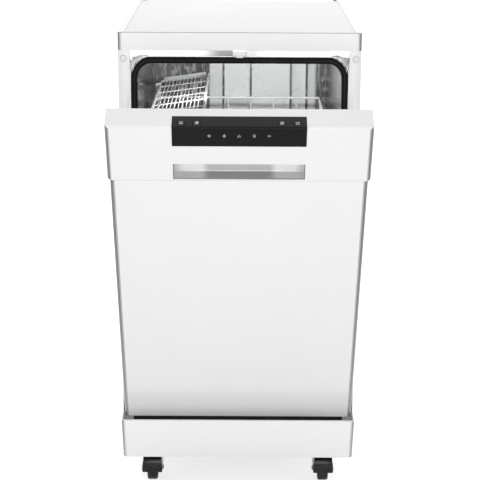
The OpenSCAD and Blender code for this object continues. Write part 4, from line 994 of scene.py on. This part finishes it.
@dataclass
class Cabinet:
    """The worktop, the panels and what they carry outside."""

    shop: Workshop
    cap_x: float = 215.5 * MM
    cap_z: float = 867 * MM
    cap_r: float = 6.5 * MM
    plug_x: float = 209 * MM
    plug_y: float = 280 * MM
    plug_r: float = 4 * MM
    # Place and size of the dark wire that is a painted shadow line on the worktop.
    shadow_line_r: float = 1.0 * MM
    shadow_line_inset: float = 6 * MM
    shadow_line_back: float = 0.9 * MM
    shadow_line_drop: float = 0.35 * MM
    ring_w: float = 1.9 * MM
    disc_gap: float = 1.8 * MM
    screw_end: float = 40 * MM
    screw_inset: float = 8 * MM
    slot_half: float = 2.6 * MM
    slot_w: float = 0.5 * MM
    screw_r: float = 3.6 * MM
    rear_screws: int = 5
    upright_r: float = 9 * MM
    plinth_lean: float = 36 * MM

    def build(self) -> None:
        """Builds the cabinet's pieces."""
        shop = self.shop
        shop.eased("worktop_frame", "worktop moulding", 1.2 * MM, 3, pierced=True,
                   trim=shop.corners("worktop_frame", self.upright_r))
        shop.eased("worktop_panel", "worktop laminate", 1.0 * MM, 2)
        for node in ("side_panel_left", "side_panel_right"):
            shop.eased(node, "white enamel", 0.5 * MM, 2)
        shop.eased("rear_panel", "zinc sheet", 0.3 * MM, pierced=True)
        shop.eased("base_tray", "tray moulding", 0.8 * MM, pierced=True)
        low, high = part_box("plinth_cover")
        lean = self.plinth_lean / (high.z - low.z)
        shop.eased("plinth_cover", "white enamel", 1.2 * MM, 3,
                   trim=shop.corners("plinth_cover", self.upright_r, lean))
        self.caps()
        self.shadow_line()
        self.screws()

    def shadow_line(self) -> None:
        """Draws a dark wire along the upper front edge of the worktop's moulding: a painted shadow line."""
        low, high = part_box("worktop_frame")
        y, z = low.y + self.shadow_line_back, high.z - self.shadow_line_drop
        line = [(low.x + self.shadow_line_inset, y, z), (high.x - self.shadow_line_inset, y, z)]
        self.shop.place(wires("worktop_shadow_line", [(line, False)], self.shadow_line_r, 1), "painted shadow line", Body.CABINET)

    def caps(self) -> None:
        """Makes the ring-shaped caps on the stiles and the plugs in the worktop's rear corners."""
        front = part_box("side_panel_left")[0].y
        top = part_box("worktop_frame")[1].z
        r = self.cap_r
        bore = r - self.ring_w
        ring = [(bore, 0), (r, 0), (r, -0.9 * MM), (r - 0.6 * MM, -1.4 * MM), (r - 1.3 * MM, -1.4 * MM),
                (bore, -0.9 * MM)]
        rings = [lathe("cap", ring, (side * self.cap_x, front, self.cap_z), Axis.Y) for side in (-1, 1)]
        self.shop.place(done(join("stile_caps", rings)), "cap moulding", Body.CABINET, "screw_caps")
        rim = r - self.disc_gap
        disc = [(0, 0), (rim, 0), (rim, -0.8 * MM), (0, -0.8 * MM)]
        discs = [lathe("disc", disc, (side * self.cap_x, front, self.cap_z), Axis.Y) for side in (-1, 1)]
        self.shop.place(done(join("stile_cap_discs", discs)), "white moulding", Body.CABINET, "screw_caps")
        r = self.plug_r
        plug = [(0, -3 * MM), (r, -3 * MM), (r, 0.8 * MM), (r - 0.7 * MM, 1.6 * MM), (0, 1.9 * MM)]
        plugs = [lathe("plug", plug, (side * self.plug_x, self.plug_y, top), Axis.Z, 24) for side in (-1, 1)]
        self.shop.place(done(join("worktop_plugs", plugs)), "tray moulding", Body.CABINET, "screw_caps")

    def screws(self) -> None:
        """Puts pan-head screws with cross slots along the rear flanges."""
        low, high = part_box("side_panel_left")[0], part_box("side_panel_right")[1]
        r = self.screw_r
        head = [(0, -0.4 * MM), (r, -0.4 * MM), (r, 0.8 * MM), (r * 0.7, 1.7 * MM), (0, 2.0 * MM)]
        made = []
        for side in (-1, 1):
            for k in range(self.rear_screws):
                z = low.z + self.screw_end + k * (high.z - low.z - 2 * self.screw_end) / (self.rear_screws - 1)
                x = side * (high.x - self.screw_inset)
                screw = lathe("screw", head, (x, high.y, z), Axis.Y, 20)
                for w, h in ((self.slot_half, self.slot_w), (self.slot_w, self.slot_half)):
                    cut(screw, block("slot", (x - w, high.y + 1.0 * MM, z - h), (x + w, high.y + 3 * MM, z + h)))
                made.append(screw)
        self.shop.place(done(join("rear_screws", made)), "spring steel", Body.CABINET)


@dataclass
class Mouth:
    """The steel frame of the tub's mouth, its seal and the latch's strike."""

    shop: Workshop
    seal_w: float = 11 * MM
    corner: float = 28 * MM
    lip_r: float = 0.9 * MM
    lip_out: float = 0.1 * MM
    bead_r: float = 1.1 * MM
    crescent: float = 7 * MM
    crescent_start: float = 2.2 * MM
    crescent_least: float = 0.2 * MM
    foot_up: float = 4 * MM

    def build(self) -> None:
        """Builds the mouth's pieces."""
        shop = self.shop
        shop.eased("front_frame", "frame steel", 0.4 * MM, pierced=True)
        self.strike()
        shop.eased("tub_gasket", "door rubber", 2.4 * MM, 4)
        low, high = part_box("tub_gasket")
        inner = high.x - self.seal_w
        # The outer lip is a lighter rubber line along the middle of the seal: a painted highlight.
        for name, out, radius, finish in (
            ("seal_lip", self.seal_w * 0.42, self.lip_r, "seal highlight rubber"),
            ("seal_inner_lip", self.lip_r, self.lip_r, "door rubber"),
        ):
            path = arch_path(inner + out, low.z + self.foot_up, high.z - self.seal_w + out, self.corner + out / 2,
                             low.y + radius - self.lip_out)
            shop.place(wires(name, [(path, False)], radius), finish, Body.CABINET)
        frame_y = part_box("front_frame")[0].y
        out = self.seal_w + self.bead_r * 1.4
        bead = arch_path(inner + out, low.z + self.foot_up, high.z - self.seal_w + out, self.corner + out / 2,
                         frame_y)
        shop.place(wires("mouth_bead", [(bead, False)], self.bead_r), "bright bead", Body.CABINET)
        self.corners(inner + self.seal_w, high.z, frame_y)

    def strike(self) -> None:
        """Makes the latch's strike: a block over the seal with a tongue under it."""
        low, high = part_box("latch_strike")
        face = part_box("front_frame")[0].y
        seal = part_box("tub_gasket")[1].z
        body = block("latch_strike_block", (low.x, face - 3 * MM, seal + 1 * MM), (high.x, high.y, high.z))
        ease(body, 0.8 * MM, 3)
        foot = block("foot", (low.x + 4 * MM, face - 1.5 * MM, low.z), (high.x - 4 * MM, high.y, seal + 2 * MM))
        ease(foot, 0.5 * MM, 2)
        tongue = block("tongue", (low.x / 2, low.y, low.z), (high.x / 2, face, low.z + 2.5 * MM))
        ease(tongue, 0.8 * MM, 3)
        whole = join("latch_strike_block", [body, foot, tongue])
        self.shop.place(done(whole), "white moulding", Body.CABINET, "latch_strike")

    def corners(self, half: float, top: float, face: float) -> None:
        """Makes a thin crescent of dark steel over each round of the seal in the frame's upper corners: painted shade
        of the drawn step in the sheet.
        """
        radius, steps, made = self.corner + self.seal_w / 2, 18, []
        for side in (-1, 1):
            centre = (half - radius, top - radius)
            near, far = [], []
            for k in range(steps + 1):
                a = math.radians(90 * k / steps)
                bulge = self.crescent * math.sin(2 * a) ** 0.8 if 0 < k < steps else 0.0
                for out, points in ((self.crescent_start, near),
                                    (self.crescent_start + self.crescent_least + bulge, far)):
                    points.append((side * (centre[0] + (radius + out) * math.cos(a)),
                                   centre[1] + (radius + out) * math.sin(a)))
            made.append(prism("crescent", near + far[::-1], Axis.Y, face - 0.5 * MM, face + 0.3 * MM))
        self.shop.place(done(join("mouth_corner_shade", made)), "corner shade steel", Body.CABINET)


@dataclass
class Tub:
    """The tub, its ribs, the filter, the pipe and the machinery in the base."""

    shop: Workshop
    spring_r: float = 6.5 * MM
    spring_wire_r: float = 1.5 * MM
    coil_pitch: float = 3.2 * MM
    thread_r: float = 12.8 * MM
    thread_pitch: float = 1.9 * MM
    thread_back: float = 9.5 * MM
    eye_r: float = 6.5 * MM
    coil_start: float = 27 * MM
    coil_end: float = 17.5 * MM

    def build(self) -> None:
        """Builds the tub's pieces."""
        shop = self.shop
        shop.dress("tub_wrapper", "tub steel")
        shop.eased("tub_back", "tub back steel", 1.2 * MM, 3)
        shop.dress("tub_floor", "tub steel")
        for node, finish in (("sump", "grey moulding"), ("circulation_pump", "tray moulding"),
                             ("drain_pump", "tray moulding"), ("filter_plate", "tub steel"),
                             ("hinge_brackets", "zinc sheet"), ("filter_cup", "grey moulding")):
            shop.dress(node, finish)
        shop.eased("feed_pipe", "pale moulding", 3.0 * MM, 3)
        shop.eased("rail_rollers", "pale moulding", 0.6 * MM, 2)
        shop.eased("drain_outlet", "black moulding", 0.5 * MM, 2)
        shop.eased("cord_gland", "black moulding", 0.6 * MM, 2)
        self.inlet()
        self.springs()

    def inlet(self) -> None:
        """Makes the water inlet with its thread."""
        shell = self.shop.eased("inlet_valve", "pale moulding", 0.6 * MM, 2)
        low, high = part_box("inlet_valve")
        middle = (low.x + high.x) / 2
        start = (middle, high.y - self.thread_back, (low.z + high.z) / 2)
        path = helix(start, Axis.Y, self.thread_r, self.thread_pitch, 4)
        self.shop.place(wires("inlet_thread", [(path, False)], 0.5 * MM, 1), "pale moulding", Body.CABINET)
        log.info("%s has a thread", shell.name)

    def springs(self) -> None:
        """Winds the door springs, with an eye at each end."""
        low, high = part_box("door_springs")
        node = self.shop.frame["nodes"]["door_springs"]
        z = (low.z + high.z) / 2
        made = []
        for side in (-1, 1):
            xs = [v.co.x for v in node.data.vertices if v.co.x * side > 0]
            x = (min(xs) + max(xs)) / 2
            eye, start, end = self.eye_r, low.y + self.coil_start, high.y - self.coil_end
            turns = int((end - start) / self.coil_pitch)
            runs = [(helix((x, start, z), Axis.Y, self.spring_r, self.coil_pitch, turns), False)]
            for y, toward in ((low.y + eye, 1), (high.y - eye, -1)):
                r = eye - self.spring_wire_r
                ring = [(x, y + r * math.cos(a), z + r * math.sin(a)) for a in [math.tau * k / 20 for k in range(20)]]
                runs.append((ring, True))
                tip = start if toward > 0 else end
                runs.append(([(x, y + toward * (eye - 2 * MM), z), (x, (y + tip) / 2, z),
                              (x + self.spring_r * 0.6, tip, z)], False))
            made.append(wires("spring", runs, self.spring_wire_r))
        self.shop.place(done(join("door_spring_coils", made), 50), "spring steel", Body.CABINET, "door_springs")


@dataclass
class Door:
    """The door, with its console, panel and inside."""

    shop: Workshop
    grip_t: float = 0.7 * MM
    grip_share: float = 0.66
    pocket_wall: float = 2 * MM
    pocket_bend: float = 4 * MM
    pocket_ease: float = 1.2 * MM
    mouth_out: float = 5 * MM
    lip_back: tuple[float, float] = (4.5 * MM, 2.0 * MM)
    key_x: tuple[float, ...] = (-97 * MM, -71 * MM, 71 * MM, 97 * MM)
    lamp_pitch: float = 25 * MM
    lamp_drop: float = 17 * MM
    stroke: float = 0.42 * MM
    upright_r: float = 9 * MM

    def build(self) -> None:
        """Builds the door's pieces."""
        shop = self.shop
        shop.eased("door_outer_panel", "shaded door enamel", 0.4 * MM, 2)
        shop.eased("door_console", "shaded console moulding", 0.7 * MM, 2, pierced=True,
                   trim=shop.corners("door_console", self.upright_r, hung=True))
        shop.eased("control_panel", "black gloss", 0.35 * MM, 2, pierced=True)
        shop.dress("indicator_lights", "smoked lens")
        shop.eased("door_inner_panel", "door steel", 0.8 * MM, 2, pierced=True)
        shop.dress("door_insulation", "insulating felt")
        shop.dress("control_board", "circuit lacquer")
        shop.eased("dispenser_body", "pale moulding", 0.8 * MM, 2, pierced=True)
        shop.eased("dispenser_lid", "pale moulding", 0.8 * MM, 2)
        shop.eased("rinse_cap", "blue moulding", 0.8 * MM, 2)
        shop.dress("door_latch", "grey moulding")
        shop.eased("hinge_arms", "zinc sheet", 0.4 * MM)
        for node in ("button_power", "button_program", "button_delay", "button_start"):
            shop.eased(node, "black gloss", 0.4 * MM, 2)
        self.pocket()
        self.key_marks()
        self.lamp_marks()

    def pocket(self) -> None:
        """Makes the handle pocket: a white scoop that rises to the front, over a silver grip, with dark wires along
        its ends and foot as painted shadow lines.
        """
        low, high = self.shop.closed_box("handle_pocket")
        face = self.shop.closed_box("door_outer_panel")[0].y
        wall, t = self.pocket_wall, self.grip_t
        x0, x1, z0, z1 = low.x + wall, high.x - wall, low.z + wall, high.z - wall
        y0, y1 = low.y, high.y - wall
        grip_z = z0 + (z1 - z0) * self.grip_share
        bend, slope, out = self.pocket_bend, self.pocket_ease, face - self.mouth_out
        inside = [(out, z0), (y1 - bend, z0), (y1 - slope, z0 + slope), (y1, z0 + bend), (y1, grip_z),
                  (y0 + self.lip_back[0], grip_z + 1.5 * MM), (y0 + self.lip_back[1], z1), (out, z1)]
        mouth = prism("mouth", inside, Axis.X, x0, x1)
        scoop = cut(block("pocket_scoop", low, high), mouth)
        self.shop.place(done(scoop), "scoop moulding", Body.DOOR, "handle_pocket", hung=True)
        outer = [(y0, z0), (y1 - bend, z0), (y1 - slope, z0 + slope), (y1, z0 + bend), (y1, grip_z)]
        inner = [(y1 - t, grip_z), (y1 - t, z0 + bend), (y1 - slope - t, z0 + slope + t), (y1 - bend, z0 + t),
                 (y0, z0 + t)]
        grip = ease(prism("pocket_grip", outer + inner, Axis.X, x0 + 0.3 * MM, x1 - 0.3 * MM), 0.2 * MM, 2)
        self.shop.place(done(grip), "silver grip", Body.DOOR, "handle_pocket", hung=True)
        # Dark wires at the pocket's ends and along its foot: painted shadow lines in the gaps.
        edges = []
        for x in (x0, x1):
            inner = x + (0.7 * MM if x < 0 else -0.7 * MM)
            edges.append(([(inner, y0 - 0.6 * MM, z0 + 0.5 * MM), (inner, y0 - 0.6 * MM, z1 - 1 * MM)], False))
        edges.append(([(x0, y0 - 0.6 * MM, z0 + 0.5 * MM), (x1, y0 - 0.6 * MM, z0 + 0.5 * MM)], False))
        self.shop.place(wires("pocket_shadow_lines", edges, 0.6 * MM, 1), "painted shadow line", Body.DOOR, hung=True)

    def key_marks(self) -> None:
        """Paints a plain mark on each key, with a short bar under it."""
        low, high = self.shop.closed_box("button_power")
        y, z = (low.y + high.y) / 2 + 1.2 * MM, high.z - 0.1 * MM
        r = 2.7 * MM

        def arc(x: float, first: float, last: float, size: float = r) -> list[Point]:
            steps = 16
            return [(x + size * math.cos(math.radians(first + (last - first) * k / steps)),
                     y + size * math.sin(math.radians(first + (last - first) * k / steps)), z)
                    for k in range(steps + 1)]

        power, program, delay, start = self.key_x
        marks = (
            ("power", power, Body.POWER, [arc(power, 120, 420), [(power, y + 0.4 * MM, z), (power, y + r * 1.2, z)]]),
            ("program", program, Body.PROGRAM,
             [arc(program, 0, 360)] + [arc(program, -90, 90, r * k / 4) for k in (1, 2, 3)]),
            ("delay", delay, Body.DELAY, [arc(delay, 0, 360), [(delay, y + r * 0.7, z), (delay, y, z),
                                                               (delay + r * 0.5, y, z)]]),
            ("start", start, Body.START,
             [[(start - r, y - r * 0.8, z), (start - r, y + r * 0.8, z), (start + r * 0.2, y, z),
               (start - r, y - r * 0.8, z)],
              [(start + r * 0.6, y - r * 0.7, z), (start + r * 0.6, y + r * 0.7, z)],
              [(start + r * 1.1, y - r * 0.7, z), (start + r * 1.1, y + r * 0.7, z)]]),
        )
        for name, x, body, runs in marks:
            bar = [(x - 3.4 * MM, y - 4.1 * MM, z), (x + 3.4 * MM, y - 4.1 * MM, z)]
            mark = wires(f"{name}_mark", [(run, False) for run in runs + [bar]], self.stroke, 1)
            self.shop.place(mark, "mark paint", body, hung=True)

    def lamp_marks(self) -> None:
        """Paints a plain mark over each of the five indicator lights."""
        low, _ = self.shop.closed_box("control_panel")
        y, z, s = low.y + 0.1 * MM, self.shop.closed_box("door_console")[1].z - self.lamp_drop, 2.6 * MM

        def at(k: int, *points: Flat) -> list[Point]:
            return [(k * self.lamp_pitch + a * s, y, z + b * s) for a, b in points]

        drop = [(math.sin(math.radians(a)) * 0.75, -0.3 - math.cos(math.radians(a)) * 0.7)
                for a in range(-120, 121, 20)]
        runs = [
            at(-2, (0, -1), (1, 0), (0, 1), (-1, 0), (0, -1)),
            at(-2, (-0.4, 0), (0, -0.4), (0.4, 0)),
            at(-1, *([(0, 1.1)] + drop + [(0, 1.1)])),
            at(-1, (0, -0.9), (0, 0.4)),
            at(0, (-1, -0.9), (1, -0.9), (0, 0.9), (-1, -0.9)),
            at(1, (-0.8, 0.9), (0.8, 0.9), (0.5, -0.1), (-0.5, -0.1), (-0.8, 0.9)),
            at(1, (0, -0.1), (0, -0.9)), at(1, (-0.7, -0.9), (0.7, -0.9)),
            at(2, (-0.9, 0), (-0.2, 0.5), (-0.2, -0.5), (-0.9, 0)), at(2, (0.1, 0), (1, 0)),
        ]
        marks = wires("indicator_marks", [(run, False) for run in runs], self.stroke * 0.8, 1)
        self.shop.place(marks, "mark paint", Body.DOOR, hung=True)


@dataclass
class WireRack:
    """A basket of round wires: loops, U-bent wires both ways and rows of tines."""

    shop: Workshop
    node: str
    body: Body
    half: float
    back: float
    front: float
    floor: float
    rim: float
    tine_rows: tuple[int, ...]
    tine_h: float
    tine_count: int
    tine_inset: Flat
    crosses: int = 11
    longs: int = 6
    rim_r: float = 2.5 * MM
    wire_r: float = 1.5 * MM
    bend: float = 9 * MM

    def long_x(self, k: int) -> float:
        """Returns the place of one of the wires that run front to back."""
        return -self.half + k * 2 * self.half / (self.longs + 1)

    def loop(self, z: float) -> tuple[list[Vector], bool]:
        """Returns the run of a closed loop at one height."""
        corners = [(-self.half, self.front, z), (self.half, self.front, z), (self.half, self.back, z),
                   (-self.half, self.back, z)]
        return bent(corners, self.bend, closed=True), True

    def build(self) -> list[bpy.types.Object]:
        """Builds the basket's wires and returns them."""
        half, front, back, z0, z1 = self.half, self.front, self.back, self.floor, self.rim
        thin: list[tuple[Any, bool]] = [self.loop((z0 + z1) / 2)]
        for k in range(1, self.crosses + 1):
            y = front + k * (back - front) / (self.crosses + 1)
            thin.append((bent([(-half, y, z1), (-half, y, z0), (half, y, z0), (half, y, z1)], self.bend), False))
        for k in range(1, self.longs + 1):
            x = self.long_x(k)
            thin.append((bent([(x, front, z1), (x, front, z0), (x, back, z0), (x, back, z1)], self.bend), False))
        for row in self.tine_rows:
            x, first, last = self.long_x(row), front + self.tine_inset[0], back - self.tine_inset[1]
            for k in range(self.tine_count):
                y = first + k * (last - first) / (self.tine_count - 1)
                thin.append(([(x, y, z0), (x, y, z0 + self.tine_h * 0.94), (x, y + 0.6 * MM, z0 + self.tine_h)],
                             False))
        return [wires(f"{self.node}_rim", [self.loop(z1), self.loop(z0)], self.rim_r, 3),
                wires(f"{self.node}_wires", thin, self.wire_r, 1)]


@dataclass
class Racks:
    """Both wire racks, the shelf, the basket and the spray arms."""

    shop: Workshop
    wheel_r: float = 15 * MM
    wheel_w: float = 9 * MM
    wheel_x: float = 178 * MM
    clip_x: float = 170 * MM
    wheel_ends: tuple[float, float] = (47 * MM, 107 * MM)
    lower_floor: float = 54 * MM
    lower_half: float = 168 * MM
    shelf_w: float = 106 * MM
    shelf_tilt: float = 8.0
    shelf_rim_r: float = 3.2 * MM
    shelf_rib_r: float = 0.9 * MM
    shelf_ribs: int = 11
    shelf_bars: int = 5
    shelf_lip: float = 8 * MM

    def build(self) -> None:
        """Builds what stands inside the tub."""
        shop = self.shop
        self.upper()
        self.lower()
        shop.eased("rack_rails", "zinc sheet", 0.8 * MM, 2)
        shop.eased("rack_fittings", "pale moulding", 0.5 * MM, 2)
        self.shelf()
        shop.eased("cutlery_basket", "grey moulding", 0.8 * MM, 2)
        shop.eased("upper_spray_arm", "grey moulding", 2.0 * MM, 3)
        shop.eased("lower_spray_arm", "grey moulding", 2.0 * MM, 3)

    def shelf(self) -> None:
        """Makes the cup shelf: a thick round rim, prongs along it, cross bars and a raised inner lip."""
        hinge = next(j for j in self.shop.frame["joints"] if j["name"] == "cup_shelf_hinge")
        low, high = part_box("cup_shelf")
        w, length, r = self.shelf_w, high.y - low.y, self.shelf_rim_r
        seat = (Matrix.Translation((hinge["pos_m"][0], low.y, hinge["pos_m"][2]))
                @ Matrix.Rotation(-math.radians(self.shelf_tilt), 4, "Y"))
        edge = 2 * MM
        rim = bent([(edge, edge, 0), (w - edge, edge, 0), (w - edge, length - edge, 0), (edge, length - edge, 0)],
                   10 * MM, closed=True)
        thick = wires("shelf_rim", [(rim, True)], r, 4)
        runs: list[tuple[Any, bool]] = []
        for k in range(1, self.shelf_ribs + 1):
            x = 7 * MM + k * (w - 14 * MM) / (self.shelf_ribs + 1)
            runs.append(([(x, edge, 0), (x, length - edge, 0)], False))
        ribs = wires("shelf_ribs", runs, self.shelf_rib_r, 2)
        bars = wires("shelf_bars", [([(edge, k * length / (self.shelf_bars + 1), -0.6 * MM),
                                      (w - edge, k * length / (self.shelf_bars + 1), -0.6 * MM)], False)
                                    for k in range(1, self.shelf_bars + 1)], 1.1 * MM, 2)
        lip = ease(block("lip", (w - 3 * MM, 10 * MM, 0), (w, length - 10 * MM, self.shelf_lip)), 1.2 * MM, 3)
        rear = ease(block("rear", (10 * MM, length - 3 * MM, 0), (w - 6 * MM, length, self.shelf_lip)), 1.2 * MM, 3)
        for name, parts, finish in (("cup_shelf_frame", [thick, lip, rear], "shelf moulding"),
                                    ("cup_shelf_ribs", [ribs, bars], "coated wire")):
            whole = join(name, parts)
            whole.data.transform(seat)
            self.shop.place(done(whole, 40), finish, Body.SHELF, "cup_shelf")

    def upper(self) -> None:
        """Makes the upper rack."""
        low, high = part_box("upper_rack")
        rack = WireRack(self.shop, "upper_rack", Body.UPPER_BASKET, half=high.x - 2.5 * MM, front=low.y + 2.5 * MM,
                        back=high.y - 2.5 * MM, floor=low.z + 2 * MM, rim=high.z - 2.5 * MM, tine_rows=(5, 6),
                        tine_h=62 * MM, tine_count=10, tine_inset=(57 * MM, 57 * MM))
        whole = join("upper_rack_basket", rack.build())
        self.shop.place(done(whole, 50), "coated wire", rack.body, "upper_rack")

    def lower(self) -> None:
        """Makes the lower rack, with clipped-on wheels along its sides."""
        low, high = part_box("lower_rack")
        floor = low.z + self.lower_floor
        rack = WireRack(self.shop, "lower_rack", Body.LOWER_BASKET, half=self.lower_half, front=low.y + 2.5 * MM,
                        back=high.y - 2.5 * MM, floor=floor, rim=high.z - 2.5 * MM, tine_rows=(4, 5, 6),
                        tine_h=90 * MM, tine_count=11, tine_inset=(47 * MM, 37 * MM))
        whole = join("lower_rack_basket", rack.build())
        self.shop.place(done(whole, 50), "coated wire", rack.body, "lower_rack")
        r, w = self.wheel_r, self.wheel_w / 2
        tread = [(0, -w), (r - 1 * MM, -w), (r, -w + 1 * MM), (r, w - 1 * MM), (r - 1 * MM, w), (r - 3 * MM, w),
                 (r - 4 * MM, w - 2 * MM), (4 * MM, w - 2 * MM), (3.5 * MM, w), (0, w)]
        made = []
        for side in (-1, 1):
            near, far = self.wheel_ends
            for y in (rack.front + near, rack.front + far, rack.back - far, rack.back - near):
                section = [(a, side * b) for a, b in tread]
                made.append(lathe("wheel", section, (side * self.wheel_x, y, low.z + r), Axis.X, 32))
                arm = block("clip", (side * self.clip_x - 3 * MM, y - 4 * MM, low.z + r - 4 * MM),
                            (side * self.clip_x + 3 * MM, y + 4 * MM, floor + 6 * MM))
                made.append(ease(arm, 1.5 * MM, 3))
        self.shop.place(done(join("lower_rack_wheels", made)), "pale moulding", Body.LOWER_BASKET, "lower_rack")


# The hood's outline in millimetres: seen from the side, about the axle's height, and its right half from the front,
# as shares of its half width against heights.
HOOD_SIDE: tuple[Flat, ...] = ((-14, 0), (-15, 10), (-14.5, 21), (-11, 30), (-4, 36), (5, 38), (15, 37.5), (25, 33),
                               (32, 25), (35.5, 14), (35.5, 7), (30, -2), (22, -8), (8, -8))
HOOD_FRONT: tuple[Flat, ...] = ((0.85, 64), (0.87, 50), (0.93, 43), (0.97, 36), (0.97, 29), (0.88, 22), (0.7, 17.5),
                                (0.56, 14))


@dataclass
class Caster:
    """One caster: a hood over the wheel, its stem, and a wheel with a tread and hub caps."""

    shop: Workshop
    place: str
    width: float = 42 * MM
    trail: float = 15 * MM
    wheel_r: float = 25 * MM
    wheel_w: float = 21 * MM
    axle_r: float = 3 * MM
    hood_top: float = 61 * MM
    swivel_back: float = 15 * MM
    cap_share: float = 0.97
    stem_r: float = 6 * MM
    stem_foot: float = 58 * MM

    def build(self) -> None:
        """Builds the hood and the wheel."""
        low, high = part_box(f"caster_fork_{self.place}")
        x = (low.x + high.x) / 2
        y = low.y + self.swivel_back
        self.hood(x, y, high)
        self.wheel(x, y + self.trail)

    def hood(self, x: float, y: float, high: Vector) -> None:
        """Makes the hood: a shell that bulges at the axle and draws in below it, open for the wheel."""
        half, r = self.width / 2, self.wheel_r
        outline = [(y + a * MM, min(r + b * MM, self.hood_top)) for a, b in HOOD_SIDE]
        front = list(HOOD_FRONT) + [(-a, z) for a, z in reversed(HOOD_FRONT)]
        shell = prism("hood", outline, Axis.X, x - half * 1.1, x + half * 1.1)
        common(shell, prism("front", [(x + a * half, z * MM) for a, z in front], Axis.Y, y - 0.1, y + 0.1))
        ease(shell, 2.6 * MM, 3, 30)
        gap = self.wheel_w / 2 + 1.6 * MM
        cut(shell, rod("hollow", (x - gap, y + self.trail, r), (x + gap, y + self.trail, r), r + 3 * MM, 40),
            block("slot", (x - gap, y - 60 * MM, -10 * MM), (x + gap, y + 60 * MM, r)))
        stem = ease(rod("stem", (x, y, self.stem_foot), (x, y, high.z), self.stem_r, 32), 0.8 * MM, 2)
        cap = [(0, -2 * MM), (4.8 * MM, -2 * MM), (4.8 * MM, 0.7 * MM), (3.4 * MM, 1.4 * MM), (0, 1.6 * MM)]
        reach = half * self.cap_share
        caps = [lathe("cap", [(a, side * b) for a, b in cap], (x + side * reach, y + self.trail, r), Axis.X, 32)
                for side in (-1, 1)]
        whole = join(f"caster_hood_{self.place}", [shell, stem, *caps])
        self.shop.place(done(whole), "caster gloss", f"swivel_{self.place}", f"caster_fork_{self.place}")

    def wheel(self, x: float, y: float) -> None:
        """Makes the wheel with a soft tread, a dished web and a hub."""
        r, w = self.wheel_r, self.wheel_w / 2
        half = [(self.axle_r, w + 0.8 * MM), (7.5 * MM, w + 0.8 * MM), (8 * MM, w + 0.4 * MM),
                (8.4 * MM, w - 2.5 * MM), (r - 8 * MM, w - 2.5 * MM), (r - 7 * MM, w - 0.3 * MM),
                (r - 5.4 * MM, w), (r - 5 * MM, w - 0.4 * MM), (r - 4.6 * MM, w), (r - 2 * MM, w - 0.4 * MM),
                (r - 0.6 * MM, w - 2 * MM), (r, w - 4 * MM)]
        section = half + [(a, -b) for a, b in reversed(half)]
        wheel = lathe(f"caster_tyre_{self.place}", section, (x, y, r), Axis.X, 64)
        self.shop.place(done(wheel, 25), "caster moulding", f"wheel_{self.place}", f"caster_wheel_{self.place}")


@dataclass
class Casters:
    """The four casters and their mounting plates."""

    shop: Workshop

    def build(self) -> None:
        """Builds every caster."""
        self.shop.eased("caster_plates", "black moulding", 0.6 * MM, 2)
        for place in ("fl", "fr", "rl", "rr"):
            Caster(self.shop, place).build()


def main() -> None:
    """Loads the frame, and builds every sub-assembly and the studio."""
    logging.basicConfig(level=logging.INFO, format="%(name)s %(message)s")
    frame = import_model()
    shop = Workshop(frame)
    for part in (Cabinet(shop), Mouth(shop), Tub(shop), Door(shop), Racks(shop), Casters(shop)):
        part.build()
    Studio().build()
    log.info("%d new pieces", shop.count)


if __name__ == "__main__":
    main()
